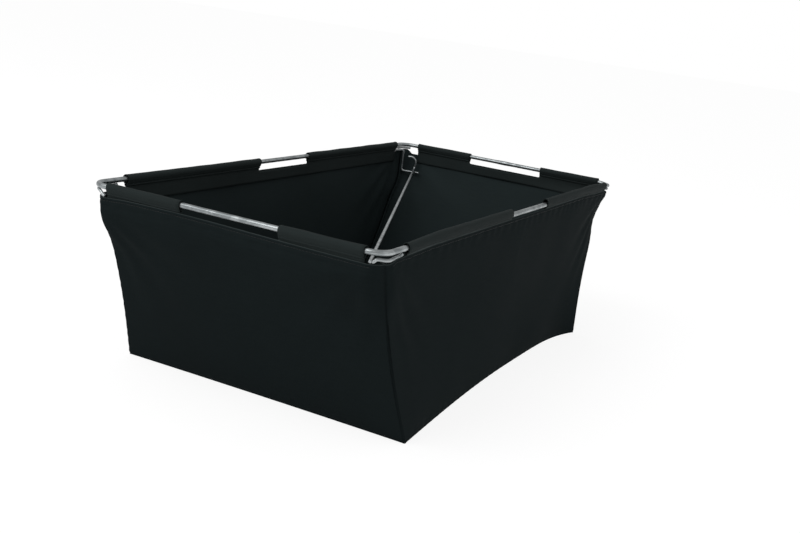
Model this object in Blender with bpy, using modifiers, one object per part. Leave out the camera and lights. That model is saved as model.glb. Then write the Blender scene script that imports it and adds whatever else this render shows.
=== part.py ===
"""Fabric collection box, open at the top, that hangs in a closed ring of steel rod.

Metres, +Z up, with the origin on the floor under the middle of the box. The box is longest along Y.
"""

import math

import bmesh
import bpy
from mathutils import Matrix, Vector

# Steel ring, measured on the axis of its rod
RING_WIDTH = 0.360
RING_LENGTH = 0.739
RIM_HEIGHT = 0.219
ROD_DIAMETER = 0.006
BEND_RADIUS = 0.018
WELD_LENGTH = 0.007
WELD_CROWN = 0.0042
WELD_SWELL = 1.14

# Thin wires under the ring's bends, the diagonal brace and its catch
WIRE_DIAMETER = 0.0035
CORNER_WIRE_NEAR_ARM = 0.040
CORNER_WIRE_FAR_ARM = 0.0285
CORNER_WIRE_SWEEP = math.radians(76)
CORNER_WIRE_DIP_START = math.radians(34)
CORNER_WIRE_DIP_END = math.radians(60)
BRACE_SEAT_ANGLE = math.radians(68)
BRACE_OVERHANG = 0.0015
CATCH_FROM_LONG_ROD = 0.0118
CATCH_FROM_SHORT_ROD = 0.0205
CATCH_SHOULDER_DEPTH = 0.007
CATCH_DEPTH = 0.0396
CATCH_BAR_LENGTH = 0.030
CATCH_BAR_TURN = math.radians(14.5)
CATCH_SHOULDER_BEND = 0.003
CATCH_BEND = 0.0045
BRACE_REST_ON_BAR = 0.021
CROOK_HEIGHT = 0.0244
CROOK_REACH = 0.0043
CROOK_RETURN = 0.0161
CROOK_DROOP = 0.001
CROOK_FOOT_BEND = 0.005
CROOK_BEND = 0.009

# Cloth
CLOTH = 0.0015
BASE_WIDTH = 0.3768
BASE_LENGTH = 0.5598
WAIST = 0.006
REAR_TUCK = 0.0052
REAR_TUCK_HEIGHT = 0.165
REAR_TUCK_REACH = 0.024
LONG_SIDE_BOW = 0.0188
LONG_BOW_PEAK = 0.25
LONG_BOW_REAR_POWER = 4.6
SHORT_SIDE_BOW = 0.0015
CORNER_INSET_X = 0.0023
CORNER_INSET_Y = 0.0102
WALL_TOP_DROP = 0.012

# Sleeve strips: cloth folded over the rod and sewn down inside the walls
SLEEVE_CLOTH = 0.0015
SLEEVE_SLACK = 0.0004
TAIL_THICKNESS = 0.0016
TAIL_DROP = 0.027
STITCH_DROP = 0.0105
TUNNEL_OPEN_ANGLE = math.radians(35)
FRONT_STRIP_LEFT_END = 0.0235
FRONT_STRIP_RIGHT_END = 0.019
REAR_STRIP_LEFT_END = 0.029
REAR_STRIP_RIGHT_END = 0.019
LEFT_STRIP_NEAR_END = 0.054
RIGHT_STRIP_NEAR_END = 0.048
LONG_STRIP_FAR_END = 0.030

# Hand slots cut out of the strips
HAND_SLOT_LENGTH = 0.121
HAND_SLOT_DROP = 0.013
HAND_SLOT_CORNER = 0.004
SHORT_SLOT_SHIFT = 0.0023
LONG_SLOT_SHIFT = 0.019

# Clearances
GAP = 0.0003
SEAM_GAP = 0.0011
BASE_SEAM = 0.0007
STRIP_MARGIN = 0.001

# Facets
BEND_STEPS = 8
WALL_MIDDLE_COLUMNS = 14
WALL_CORNER_COLUMNS = 5
WALL_LOWER_ROWS = 10
WALL_HEM_ROWS = 2
BASE_EDGE_POINTS = 14
TUNNEL_STEPS = 16

HALF_WIDTH = RING_WIDTH / 2
HALF_LENGTH = RING_LENGTH / 2
ROD_RADIUS = ROD_DIAMETER / 2
WIRE_RADIUS = WIRE_DIAMETER / 2
WALL_TOP = RIM_HEIGHT - WALL_TOP_DROP
WALL_FOOT = CLOTH + BASE_SEAM
HEM_FOOT = RIM_HEIGHT - TAIL_DROP - STRIP_MARGIN
HEM_OFFSET = TAIL_THICKNESS / 2 + GAP + CLOTH / 2
SHORT_WALL_END = CLOTH / 2 + SEAM_GAP
LONG_WALL_END = -CLOTH / 2

Z_AXIS = Vector((0, 0, 1))


def new_collection(name):
    found = bpy.data.collections.new(name)
    bpy.context.scene.collection.children.link(found)
    return found


def principled(name, colour, roughness, metallic):
    material = bpy.data.materials.new(name)
    material.use_nodes = True
    shader = material.node_tree.nodes["Principled BSDF"]
    shader.inputs["Base Color"].default_value = (*colour, 1)
    shader.inputs["Roughness"].default_value = roughness
    shader.inputs["Metallic"].default_value = metallic
    return material


def blend(start, end, share):
    return start + (end - start) * share


def smooth_step(share):
    share = min(max(share, 0), 1)
    return share * share * (3 - 2 * share)


def shade_round(obj):
    obj.data.shade_smooth()
    obj.data.set_sharp_from_angle(angle=math.radians(40))


# Wires

def fillet(before, corner, after, radius, steps=6):
    """The points of an arc that rounds off one corner of a path."""
    towards = (before - corner).normalized()
    away = (after - corner).normalized()
    half = towards.angle(away) / 2
    reach = radius / math.tan(half)
    centre = corner + (towards + away).normalized() * (radius / math.sin(half))
    start = corner + towards * reach - centre
    normal = start.cross(corner + away * reach - centre).normalized()
    sweep = math.pi - 2 * half
    turns = (Matrix.Rotation(sweep * step / steps, 3, normal) for step in range(steps + 1))
    return [centre + turn @ start for turn in turns]


def rounded(points, radii):
    """A path through the points with each inner corner rounded to its radius."""
    path = [points[0]]
    for index, radius in enumerate(radii, start=1):
        path += fillet(points[index - 1], points[index], points[index + 1], radius)
    return path + [points[-1]]


def wire(name, points, diameter, material, collection, closed=False, swells=None):
    """A round wire along the points. swells scales its radius at chosen points."""
    curve = bpy.data.curves.new(name, "CURVE")
    curve.dimensions = "3D"
    curve.bevel_depth = diameter / 2
    curve.bevel_resolution = 3
    curve.use_fill_caps = not closed
    spline = curve.splines.new("POLY")
    spline.points.add(len(points) - 1)
    for index, point in enumerate(points):
        spline.points[index].co = (*point, 1)
        spline.points[index].radius = (swells or {}).get(index, 1)
    spline.use_cyclic_u = closed
    curve.materials.append(material)
    obj = bpy.data.objects.new(name, curve)
    collection.objects.link(obj)
    return obj


def corner_place(sign_x, sign_y, from_long_rod, from_short_rod, above_rod):
    """A point given from the two rods that meet at a corner of the ring, measured inwards."""
    return Vector((
        sign_x * (HALF_WIDTH - from_long_rod),
        sign_y * (HALF_LENGTH - from_short_rod),
        RIM_HEIGHT + above_rod,
    ))


def bend_point(sign_x, sign_y, angle, above_rod):
    """A point on the ring's bend: angle 0 is where it leaves the long rod."""
    inwards_x = BEND_RADIUS * (1 - math.cos(angle))
    inwards_y = BEND_RADIUS * (1 - math.sin(angle))
    return corner_place(sign_x, sign_y, inwards_x, inwards_y, above_rod)


def ring_bend(sign_x, sign_y, backwards):
    """The rod's axis round one bend, from the long rod to the short one or backwards."""
    angles = [math.pi / 2 * step / BEND_STEPS for step in range(BEND_STEPS + 1)]
    if backwards:
        angles.reverse()
    return [bend_point(sign_x, sign_y, angle, 0) for angle in angles]


def ring(material, collection):
    """The closed ring, butt welded in the middle of the rear rod."""
    points = ring_bend(1, -1, True) + ring_bend(1, 1, False)
    weld_middle = Vector((0, HALF_LENGTH, RIM_HEIGHT))
    swells = {}
    for offset in (WELD_LENGTH / 2, WELD_CROWN / 2, 0, -WELD_CROWN / 2, -WELD_LENGTH / 2):
        if abs(offset) <= WELD_CROWN / 2:
            swells[len(points)] = WELD_SWELL
        points.append(weld_middle + Vector((offset, 0, 0)))
    points += ring_bend(-1, 1, True) + ring_bend(-1, -1, False)
    return wire("frame_ring", points, ROD_DIAMETER, material, collection, closed=True, swells=swells)


# A corner wire lies under the rod. It dips by one wire where the brace passes between them, and the catch's
# tail lies one wire lower too.
WIRE_BELOW_ROD = ROD_RADIUS + GAP + WIRE_RADIUS
WIRE_DIP = WIRE_DIAMETER + GAP


def corner_wire(name, sign_x, sign_y, arm, dips, material, collection):
    points = [corner_place(sign_x, sign_y, 0, arm, -WIRE_BELOW_ROD)]
    steps = 2 * BEND_STEPS
    for step in range(steps + 1):
        angle = CORNER_WIRE_SWEEP * step / steps
        share = smooth_step((angle - CORNER_WIRE_DIP_START) / (CORNER_WIRE_DIP_END - CORNER_WIRE_DIP_START))
        dip = WIRE_DIP * share if dips else 0
        points.append(bend_point(sign_x, sign_y, angle, -WIRE_BELOW_ROD - dip))
    return wire(name, points, WIRE_DIAMETER, material, collection)


def bar_direction():
    return Vector((math.cos(CATCH_BAR_TURN), math.sin(CATCH_BAR_TURN), 0))


def catch_foot():
    """The lower corner of the catch, where its leg turns into its bar."""
    return corner_place(-1, 1, CATCH_FROM_LONG_ROD, CATCH_FROM_SHORT_ROD, -CATCH_DEPTH)


def catch(material, collection):
    """A wire from under the far corner wire's end, down by one leg to a bar that carries the brace."""
    tail = corner_place(-1, 1, 0, CORNER_WIRE_FAR_ARM, -WIRE_BELOW_ROD - WIRE_DIP)
    shoulder = corner_place(-1, 1, CATCH_FROM_LONG_ROD, CATCH_FROM_SHORT_ROD, -CATCH_SHOULDER_DEPTH)
    foot = catch_foot()
    bar_end = foot + bar_direction() * CATCH_BAR_LENGTH
    path = rounded([tail, shoulder, foot, bar_end], [CATCH_SHOULDER_BEND, CATCH_BEND])
    return wire("catch_wire", path, WIRE_DIAMETER, material, collection)


def brace(material, collection):
    """From between the ring and the near corner wire to the catch's bar, then up and back in a crook."""
    near = bend_point(1, -1, BRACE_SEAT_ANGLE, -WIRE_BELOW_ROD)
    rest = catch_foot() + bar_direction() * BRACE_REST_ON_BAR + Z_AXIS * (WIRE_DIAMETER + GAP)
    run = (rest - near).normalized()
    start = near - run * (WIRE_RADIUS + BRACE_OVERHANG)
    turn_up = rest + run * WIRE_DIAMETER
    top = turn_up + bar_direction() * CROOK_REACH + Z_AXIS * CROOK_HEIGHT
    tip = top - bar_direction() * CROOK_RETURN - Z_AXIS * CROOK_DROOP
    path = rounded([start, turn_up, top, tip], [CROOK_FOOT_BEND, CROOK_BEND])
    return wire("diagonal_brace", path, WIRE_DIAMETER, material, collection)


# Cloth walls and base

def corner_half_width(height, is_rear):
    """Half the distance between two corner seams along X. Under the hem, the rear ones are drawn in more."""
    share = height / WALL_TOP
    straight = blend(BASE_WIDTH / 2, HALF_WIDTH - CORNER_INSET_X, share)
    waist = WAIST * math.sin(math.pi * share)
    from_tuck = (height - REAR_TUCK_HEIGHT) / REAR_TUCK_REACH
    tuck = REAR_TUCK * math.exp(-from_tuck * from_tuck) if is_rear else 0
    return straight - waist - tuck


def corner_half_length(height):
    return blend(BASE_LENGTH / 2, HALF_LENGTH - CORNER_INSET_Y, height / WALL_TOP)


def middle_distance(height, at_base, at_hem):
    """How far a wall's middle stands from the box's centre: plumb down the hem, then leaning to the base."""
    return blend(at_base, at_hem, min(height / HEM_FOOT, 1))


def hem_shape(across, flat_share):
    """1 along the flat middle of a wall's hem, falling to 0 at its corners."""
    beyond = max(0, (abs(across) - flat_share) / (1 - flat_share))
    return 1 - beyond * beyond


def long_bow_shape(rearwards):
    """How the base draws a long side in, from 0 at its corners to 1 at a place nearer the rear corner."""
    if rearwards < LONG_BOW_PEAK:
        return math.sin(math.pi / 2 * (rearwards + 1) / (LONG_BOW_PEAK + 1))
    return 1 - ((rearwards - LONG_BOW_PEAK) / (1 - LONG_BOW_PEAK)) ** LONG_BOW_REAR_POWER


def short_bow_shape(across):
    return 1 - across * across


def wall_columns(flat_share):
    """Shares of a wall's half width, from -1 to 1, closer together near the corners."""
    middle = [flat_share * (2 * step / WALL_MIDDLE_COLUMNS - 1) for step in range(WALL_MIDDLE_COLUMNS + 1)]
    corner = [blend(flat_share, 1, step / WALL_CORNER_COLUMNS) for step in range(1, WALL_CORNER_COLUMNS + 1)]
    return [-share for share in reversed(corner)] + middle + corner


def wall_heights():
    lower = [blend(WALL_FOOT, HEM_FOOT, step / WALL_LOWER_ROWS) for step in range(WALL_LOWER_ROWS)]
    return lower + [blend(HEM_FOOT, WALL_TOP, step / WALL_HEM_ROWS) for step in range(WALL_HEM_ROWS + 1)]


def long_wall_point(facing_x, across, height, flat_share):
    """A point of a long wall's middle surface. across is -1 at the front corner and 1 at the rear one."""
    corner = corner_half_width(height, is_rear=across > 0)
    middle = middle_distance(height, BASE_WIDTH / 2 - LONG_SIDE_BOW, HALF_WIDTH + HEM_OFFSET)
    shape = blend(long_bow_shape(across), hem_shape(across, flat_share), min(height / HEM_FOOT, 1))
    out = blend(corner, middle, shape)
    return Vector((facing_x * out, across * (corner_half_length(height) - LONG_WALL_END), height))


def short_wall_point(facing_y, across, height, flat_share):
    """A point of a short wall's middle surface. across is -1 at the left corner and 1 at the right one."""
    corner = corner_half_length(height)
    middle = middle_distance(height, BASE_LENGTH / 2 - SHORT_SIDE_BOW, HALF_LENGTH + HEM_OFFSET)
    shape = blend(short_bow_shape(across), hem_shape(across, flat_share), min(height / HEM_FOOT, 1))
    out = blend(corner, middle, shape)
    sideways = across * (corner_half_width(height, is_rear=facing_y > 0) - SHORT_WALL_END)
    return Vector((sideways, facing_y * out, height))


def wall(name, facing, strip_reach, material, collection):
    """A wall lofted from the base's outline to the ring's.

    facing is the way its outer side looks, and strip_reach how far its sleeve strip runs from the middle.
    """
    is_long = abs(facing.x) > 0.5
    if is_long:
        half_hem = corner_half_length(HEM_FOOT) - LONG_WALL_END
    else:
        half_hem = corner_half_width(HEM_FOOT, is_rear=facing.y > 0) - SHORT_WALL_END
    flat_share = (strip_reach + STRIP_MARGIN) / half_hem
    columns = wall_columns(flat_share)
    mesh = bmesh.new()
    rows = []
    for height in wall_heights():
        row = []
        for across in columns:
            if is_long:
                place = long_wall_point(facing.x, across, height, flat_share)
            else:
                place = short_wall_point(facing.y, across, height, flat_share)
            row.append(mesh.verts.new(place))
        rows.append(row)
    for lower, upper in zip(rows, rows[1:]):
        for index in range(len(columns) - 1):
            mesh.faces.new((lower[index], upper[index], upper[index + 1], lower[index + 1]))
    bmesh.ops.recalc_face_normals(mesh, faces=mesh.faces)
    data = bpy.data.meshes.new(name)
    mesh.to_mesh(data)
    mesh.free()
    data.materials.append(material)
    obj = bpy.data.objects.new(name, data)
    collection.objects.link(obj)
    thicken = obj.modifiers.new("cloth", "SOLIDIFY")
    thicken.thickness = CLOTH
    thicken.offset = 0
    shade_round(obj)
    return obj


def flat_outline(name, outlines, half_depth, collection):
    """A 2D curve of closed outlines, extruded to both sides. An outline inside another is a hole."""
    curve = bpy.data.curves.new(name, "CURVE")
    curve.dimensions = "2D"
    curve.fill_mode = "BOTH"
    curve.extrude = half_depth
    for outline in outlines:
        spline = curve.splines.new("POLY")
        spline.points.add(len(outline) - 1)
        for point, (x, y) in zip(spline.points, outline):
            point.co = (x, y, 0, 1)
        spline.use_cyclic_u = True
    obj = bpy.data.objects.new(name, curve)
    collection.objects.link(obj)
    return obj


def as_mesh(obj, collection):
    """The curve's solid as a mesh object with its caps welded, in the curve's place."""
    bpy.context.view_layer.update()
    evaluated = obj.evaluated_get(bpy.context.evaluated_depsgraph_get())
    data = bpy.data.meshes.new_from_object(evaluated)
    welded = bmesh.new()
    welded.from_mesh(data)
    bmesh.ops.remove_doubles(welded, verts=welded.verts, dist=0.00001)
    bmesh.ops.recalc_face_normals(welded, faces=welded.faces)
    welded.to_mesh(data)
    welded.free()
    name, matrix = obj.name, obj.matrix_world.copy()
    bpy.data.objects.remove(obj)
    made = bpy.data.objects.new(name, data)
    made.matrix_world = matrix
    collection.objects.link(made)
    return made


def base_panel(material, collection):
    half_width = BASE_WIDTH / 2 + CLOTH / 2
    half_length = BASE_LENGTH / 2 + CLOTH / 2
    shares = [2 * step / BASE_EDGE_POINTS - 1 for step in range(BASE_EDGE_POINTS)]
    front = [(share * half_width, -half_length + SHORT_SIDE_BOW * short_bow_shape(share)) for share in shares]
    right = [(half_width - LONG_SIDE_BOW * long_bow_shape(share), share * half_length) for share in shares]
    rear = [(-x, -y) for x, y in front]
    left = [(-half_width + LONG_SIDE_BOW * long_bow_shape(-share), -share * half_length) for share in shares]
    outline = front + right + rear + left
    panel = flat_outline("base_panel", [outline], CLOTH / 2, collection)
    panel.location.z = CLOTH / 2
    panel.data.materials.append(material)
    return panel


# Sleeve strips

def tunnel_outline(radius, foot):
    """A drop shape round the rod: an arc over the top, and two straight sides down to the foot."""
    start = -TUNNEL_OPEN_ANGLE
    sweep = math.pi + 2 * TUNNEL_OPEN_ANGLE
    angles = [start + sweep * step / TUNNEL_STEPS for step in range(TUNNEL_STEPS + 1)]
    return [(radius * math.cos(angle), radius * math.sin(angle)) for angle in angles] + foot


def hand_slot_outline():
    half = HAND_SLOT_LENGTH / 2
    corners = []
    for centre_x, first in ((-half + HAND_SLOT_CORNER, math.pi), (half - HAND_SLOT_CORNER, 1.5 * math.pi)):
        for step in range(BEND_STEPS + 1):
            angle = first + math.pi / 2 * step / BEND_STEPS
            x = centre_x + HAND_SLOT_CORNER * math.cos(angle)
            corners.append((x, -HAND_SLOT_DROP + HAND_SLOT_CORNER * (1 + math.sin(angle))))
    return corners + [(half, HAND_SLOT_DROP), (-half, HAND_SLOT_DROP)]


def sleeve_strip(name, facing, start, end, slot_centre, material, collection, cutters):
    """start, end and slot_centre are places along the rod's world axis."""
    along = facing.cross(Z_AXIS)
    axis_sign = 1 if along.x + along.y > 0 else -1
    rod_distance = HALF_WIDTH if abs(facing.x) > 0.5 else HALF_LENGTH
    direction = along * axis_sign
    rod_point = facing * rod_distance + Z_AXIS * RIM_HEIGHT

    outer_radius = ROD_RADIUS + SLEEVE_SLACK + SLEEVE_CLOTH
    half_tail = TAIL_THICKNESS / 2
    tail = [(-half_tail, -STITCH_DROP), (-half_tail, -TAIL_DROP)]
    tail += [(-x, y) for x, y in reversed(tail)]
    outer = tunnel_outline(outer_radius, tail)
    inner = tunnel_outline(ROD_RADIUS + SLEEVE_SLACK, [(0, -STITCH_DROP + SLEEVE_CLOTH)])
    strip = flat_outline(name, [outer, inner], (end - start) / 2, collection)
    strip.matrix_world = Matrix.Translation(rod_point + direction * (start + end) / 2) @ Matrix(
        (facing, Z_AXIS, along)
    ).transposed().to_4x4()
    strip = as_mesh(strip, collection)
    strip.data.materials.append(material)

    cutter = flat_outline(name + "_hand_slot", [hand_slot_outline()], HAND_SLOT_DROP, cutters)
    cutter.matrix_world = Matrix.Translation(rod_point + direction * slot_centre) @ Matrix(
        (along, Z_AXIS, along.cross(Z_AXIS))
    ).transposed().to_4x4()
    cutter = as_mesh(cutter, cutters)
    cutter.hide_render = True
    cutter.display_type = "WIRE"
    cut = strip.modifiers.new("hand_slot", "BOOLEAN")
    cut.operation = "DIFFERENCE"
    cut.object = cutter
    shade_round(strip)
    return strip


def build():
    for obj in list(bpy.data.objects):
        bpy.data.objects.remove(obj)
    parts = new_collection("shredder_collection_box")
    cutters = new_collection("cutters")
    cutters.hide_render = True
    zinc = principled("zinc_plated_steel", (0.42, 0.44, 0.45), 0.38, 0.9)
    shell_cloth = principled("coated_shell_cloth", (0.010, 0.012, 0.012), 0.72, 0)
    strip_cloth = principled("sleeve_strip_cloth", (0.017, 0.019, 0.019), 0.66, 0)

    ring(zinc, parts)
    corner_wire("corner_wire_near", 1, -1, CORNER_WIRE_NEAR_ARM, True, zinc, parts)
    corner_wire("corner_wire_left", -1, -1, CORNER_WIRE_NEAR_ARM, True, zinc, parts)
    corner_wire("corner_wire_right", 1, 1, CORNER_WIRE_FAR_ARM, True, zinc, parts)
    corner_wire("corner_wire_far", -1, 1, CORNER_WIRE_FAR_ARM, False, zinc, parts)
    catch(zinc, parts)
    brace(zinc, parts)

    # Each side's word, facing, half rod length, where its strip ends before the two corners, and its slot
    sides = (
        ("front", (0, -1, 0), HALF_WIDTH, FRONT_STRIP_LEFT_END, FRONT_STRIP_RIGHT_END, SHORT_SLOT_SHIFT),
        ("rear", (0, 1, 0), HALF_WIDTH, REAR_STRIP_LEFT_END, REAR_STRIP_RIGHT_END, SHORT_SLOT_SHIFT),
        ("left", (-1, 0, 0), HALF_LENGTH, LEFT_STRIP_NEAR_END, LONG_STRIP_FAR_END, LONG_SLOT_SHIFT),
        ("right", (1, 0, 0), HALF_LENGTH, RIGHT_STRIP_NEAR_END, LONG_STRIP_FAR_END, LONG_SLOT_SHIFT),
    )
    for word, outwards, half_rod, first_end, last_end, slot_centre in sides:
        facing = Vector(outwards)
        start, end = first_end - half_rod, half_rod - last_end
        wall(word + "_wall", facing, max(-start, end), shell_cloth, parts)
        sleeve_strip(word + "_sleeve_strip", facing, start, end, slot_centre, strip_cloth, parts, cutters)
    base_panel(shell_cloth, parts)


build()
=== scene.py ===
"""Looks of a cloth collection box in a ring of steel rod: its cloth, sewing and wire work, and a studio.

Metres, +Z up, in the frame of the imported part. The end wall at -Y is the near one, and the box is longest
along Y.
"""

from __future__ import annotations

import logging
import math
from collections.abc import Callable, Iterable, Sequence
from dataclasses import dataclass, field, replace
from enum import Enum
from typing import Any

import bmesh
import bpy
from mathutils import Matrix, Vector, noise

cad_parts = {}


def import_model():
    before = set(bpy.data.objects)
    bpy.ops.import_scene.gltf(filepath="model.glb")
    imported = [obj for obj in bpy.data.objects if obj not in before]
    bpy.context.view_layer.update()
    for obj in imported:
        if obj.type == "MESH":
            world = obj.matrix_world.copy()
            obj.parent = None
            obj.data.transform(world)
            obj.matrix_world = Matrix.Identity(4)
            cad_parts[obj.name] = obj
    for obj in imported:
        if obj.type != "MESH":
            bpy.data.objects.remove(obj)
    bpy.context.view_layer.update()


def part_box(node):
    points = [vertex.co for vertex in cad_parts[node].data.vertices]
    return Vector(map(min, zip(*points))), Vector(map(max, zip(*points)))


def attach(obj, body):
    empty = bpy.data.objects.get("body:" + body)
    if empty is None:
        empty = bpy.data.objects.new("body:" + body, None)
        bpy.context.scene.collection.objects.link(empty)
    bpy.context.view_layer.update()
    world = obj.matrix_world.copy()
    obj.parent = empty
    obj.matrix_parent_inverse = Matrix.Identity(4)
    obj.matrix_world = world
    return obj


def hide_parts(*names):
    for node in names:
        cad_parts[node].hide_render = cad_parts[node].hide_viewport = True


LOG = logging.getLogger("collection_box")
MM = 0.001
ROOT = "root"
Z_AXIS = Vector((0, 0, 1))
SURFACE_UV = "surface_m"

Point = tuple[float, float]
# A wire's circle: its middle, two directions in its plane, its radius, and its place along the wire.
Section = tuple[Vector, Vector, Vector, float, float]


def linear(hex_colour: str) -> tuple[float, float, float, float]:
    """Turn an sRGB hex colour into Blender's linear colour.

    Args:
        hex_colour: Six hex digits, such as "1d2222".

    Returns:
        Linear red, green, blue and an alpha of 1.
    """
    parts = [int(hex_colour[i : i + 2], 16) / 255 for i in (0, 2, 4)]
    red, green, blue = (p / 12.92 if p <= 0.04045 else ((p + 0.055) / 1.055) ** 2.4 for p in parts)
    return red, green, blue, 1.0


def blend(start: float, end: float, share: float) -> float:
    """Return the value a share of the way from start to end."""
    return start + (end - start) * share


def smooth_step(share: float) -> float:
    """Return 0 below 0, 1 above 1, and an S-shaped rise between."""
    share = min(max(share, 0.0), 1.0)
    return share * share * (3 - 2 * share)


def bell(value: float, centre: float, width: float) -> float:
    """Return a bell of height 1 round centre that has fallen to about a third at one width away."""
    offset = (value - centre) / width
    return math.exp(-offset * offset)


def right_rise(along: float) -> float:
    """Return how far the right side's stitch line has risen to the rod, from 0 to 1, along Y."""
    return smooth_step((along + 0.335) / 0.08) * smooth_step((0.31 - along) / 0.08)


class Side(Enum):
    """The four sides of the box, each with the way that its outer face looks."""

    FRONT = (0.0, -1.0)
    REAR = (0.0, 1.0)
    LEFT = (-1.0, 0.0)
    RIGHT = (1.0, 0.0)

    @property
    def facing(self) -> Vector:
        """The outward direction of this side."""
        return Vector((*self.value, 0.0))

    @property
    def along(self) -> Vector:
        """The level direction along this side, always towards +X or +Y."""
        return Vector((abs(self.value[1]), abs(self.value[0]), 0.0))

    @property
    def is_long(self) -> bool:
        """Whether this is one of the two longer sides."""
        return abs(self.value[0]) > 0.5

    @property
    def word(self) -> str:
        """The side's name in lower case, as the part's nodes use it."""
        return self.name.lower()


@dataclass(frozen=True)
class RingPlace:
    """Where the steel ring lies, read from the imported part.

    Attributes:
        half_width: From the middle to the long rods' axis, along X.
        half_length: From the middle to the short rods' axis, along Y.
        height: The rod's axis above the floor.
        rod_radius: Half the rod's diameter.
        bend_radius: Of the rod's axis at the ring's corners.
    """

    half_width: float
    half_length: float
    height: float
    rod_radius: float = 3.0 * MM
    bend_radius: float = 18.0 * MM

    @classmethod
    def from_frame(cls) -> RingPlace:
        """Measure the ring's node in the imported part.

        Returns:
            The ring's place.
        """
        low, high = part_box("frame_ring")
        weld_swell = 1.14
        radius = cls.rod_radius
        # The butt weld on the rear rod stands a little proud of the rod, so the front rod gives the length.
        return cls(high.x - radius, -low.y - radius, high.z - radius * weld_swell, radius)

    def corner(self, sign_x: int, sign_y: int, in_x: float, in_y: float, rise: float) -> Vector:
        """Return a point given from the two rods that meet at a corner.

        Args:
            sign_x: -1 or 1, the corner's side along X.
            sign_y: -1 or 1, the corner's side along Y.
            in_x: How far inwards from the long rod's axis.
            in_y: How far inwards from the short rod's axis.
            rise: How far above the rod's axis.

        Returns:
            The point in the row frame.
        """
        x, y = sign_x * (self.half_width - in_x), sign_y * (self.half_length - in_y)
        place = Vector((x, y, self.height + rise))
        if sign_x > 0 and sign_y > 0:
            # The far right bend hangs a little low and wide, as the photograph shows it.
            place += Vector((1.5, 0.6, -2.0)) * MM * bell(math.hypot(in_x, in_y), 0.0, 17 * MM)
        return place

    def bend(self, sign_x: int, sign_y: int, angle: float, rise: float) -> Vector:
        """Return a point over a corner's bend.

        Args:
            sign_x: -1 or 1, the corner's side along X.
            sign_y: -1 or 1, the corner's side along Y.
            angle: 0 where the bend leaves the long rod. Below 0 is back along that rod, by so many bend
                radii.
            rise: How far above the rod's axis.

        Returns:
            The point in the row frame.
        """
        in_x = self.bend_radius * (1 - math.cos(max(angle, 0.0)))
        in_y = self.bend_radius * (1 - (math.sin(angle) if angle > 0 else angle))
        return self.corner(sign_x, sign_y, in_x, in_y, rise)


# Materials


class NodeSet:
    """Builds the node tree of one material or world.

    Attributes:
        owner: The material or world.
        tree: Its node tree.
    """

    def __init__(self, owner: bpy.types.Material | bpy.types.World) -> None:
        """Start with an empty tree.

        Args:
            owner: The new material or world.
        """
        owner.use_nodes = True
        self.owner = owner
        self.tree = owner.node_tree
        self.tree.nodes.clear()

    def add(
        self, kind: str, settings: dict[str, Any] | None = None, output: int | str = 0, **inputs: Any
    ) -> bpy.types.NodeSocket | None:
        """Add a node with its settings and links.

        Args:
            kind: The node's type, without the ShaderNode in front.
            settings: Properties of the node, by name.
            output: Which of its outputs is wanted.
            inputs: Values or output sockets, by input name with spaces as underscores, or by i and a number.

        Returns:
            The wanted output, or None for a node that has none.
        """
        node = self.tree.nodes.new("ShaderNode" + kind)
        for key, value in (settings or {}).items():
            setattr(node, key, value)
        for key, value in inputs.items():
            is_number = key[0] == "i" and key[1:].isdigit()
            socket = node.inputs[int(key[1:]) if is_number else key.replace("_", " ")]
            if isinstance(value, bpy.types.NodeSocket):
                self.tree.links.new(value, socket)
            else:
                socket.default_value = value
        return node.outputs[output] if node.outputs else None


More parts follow.
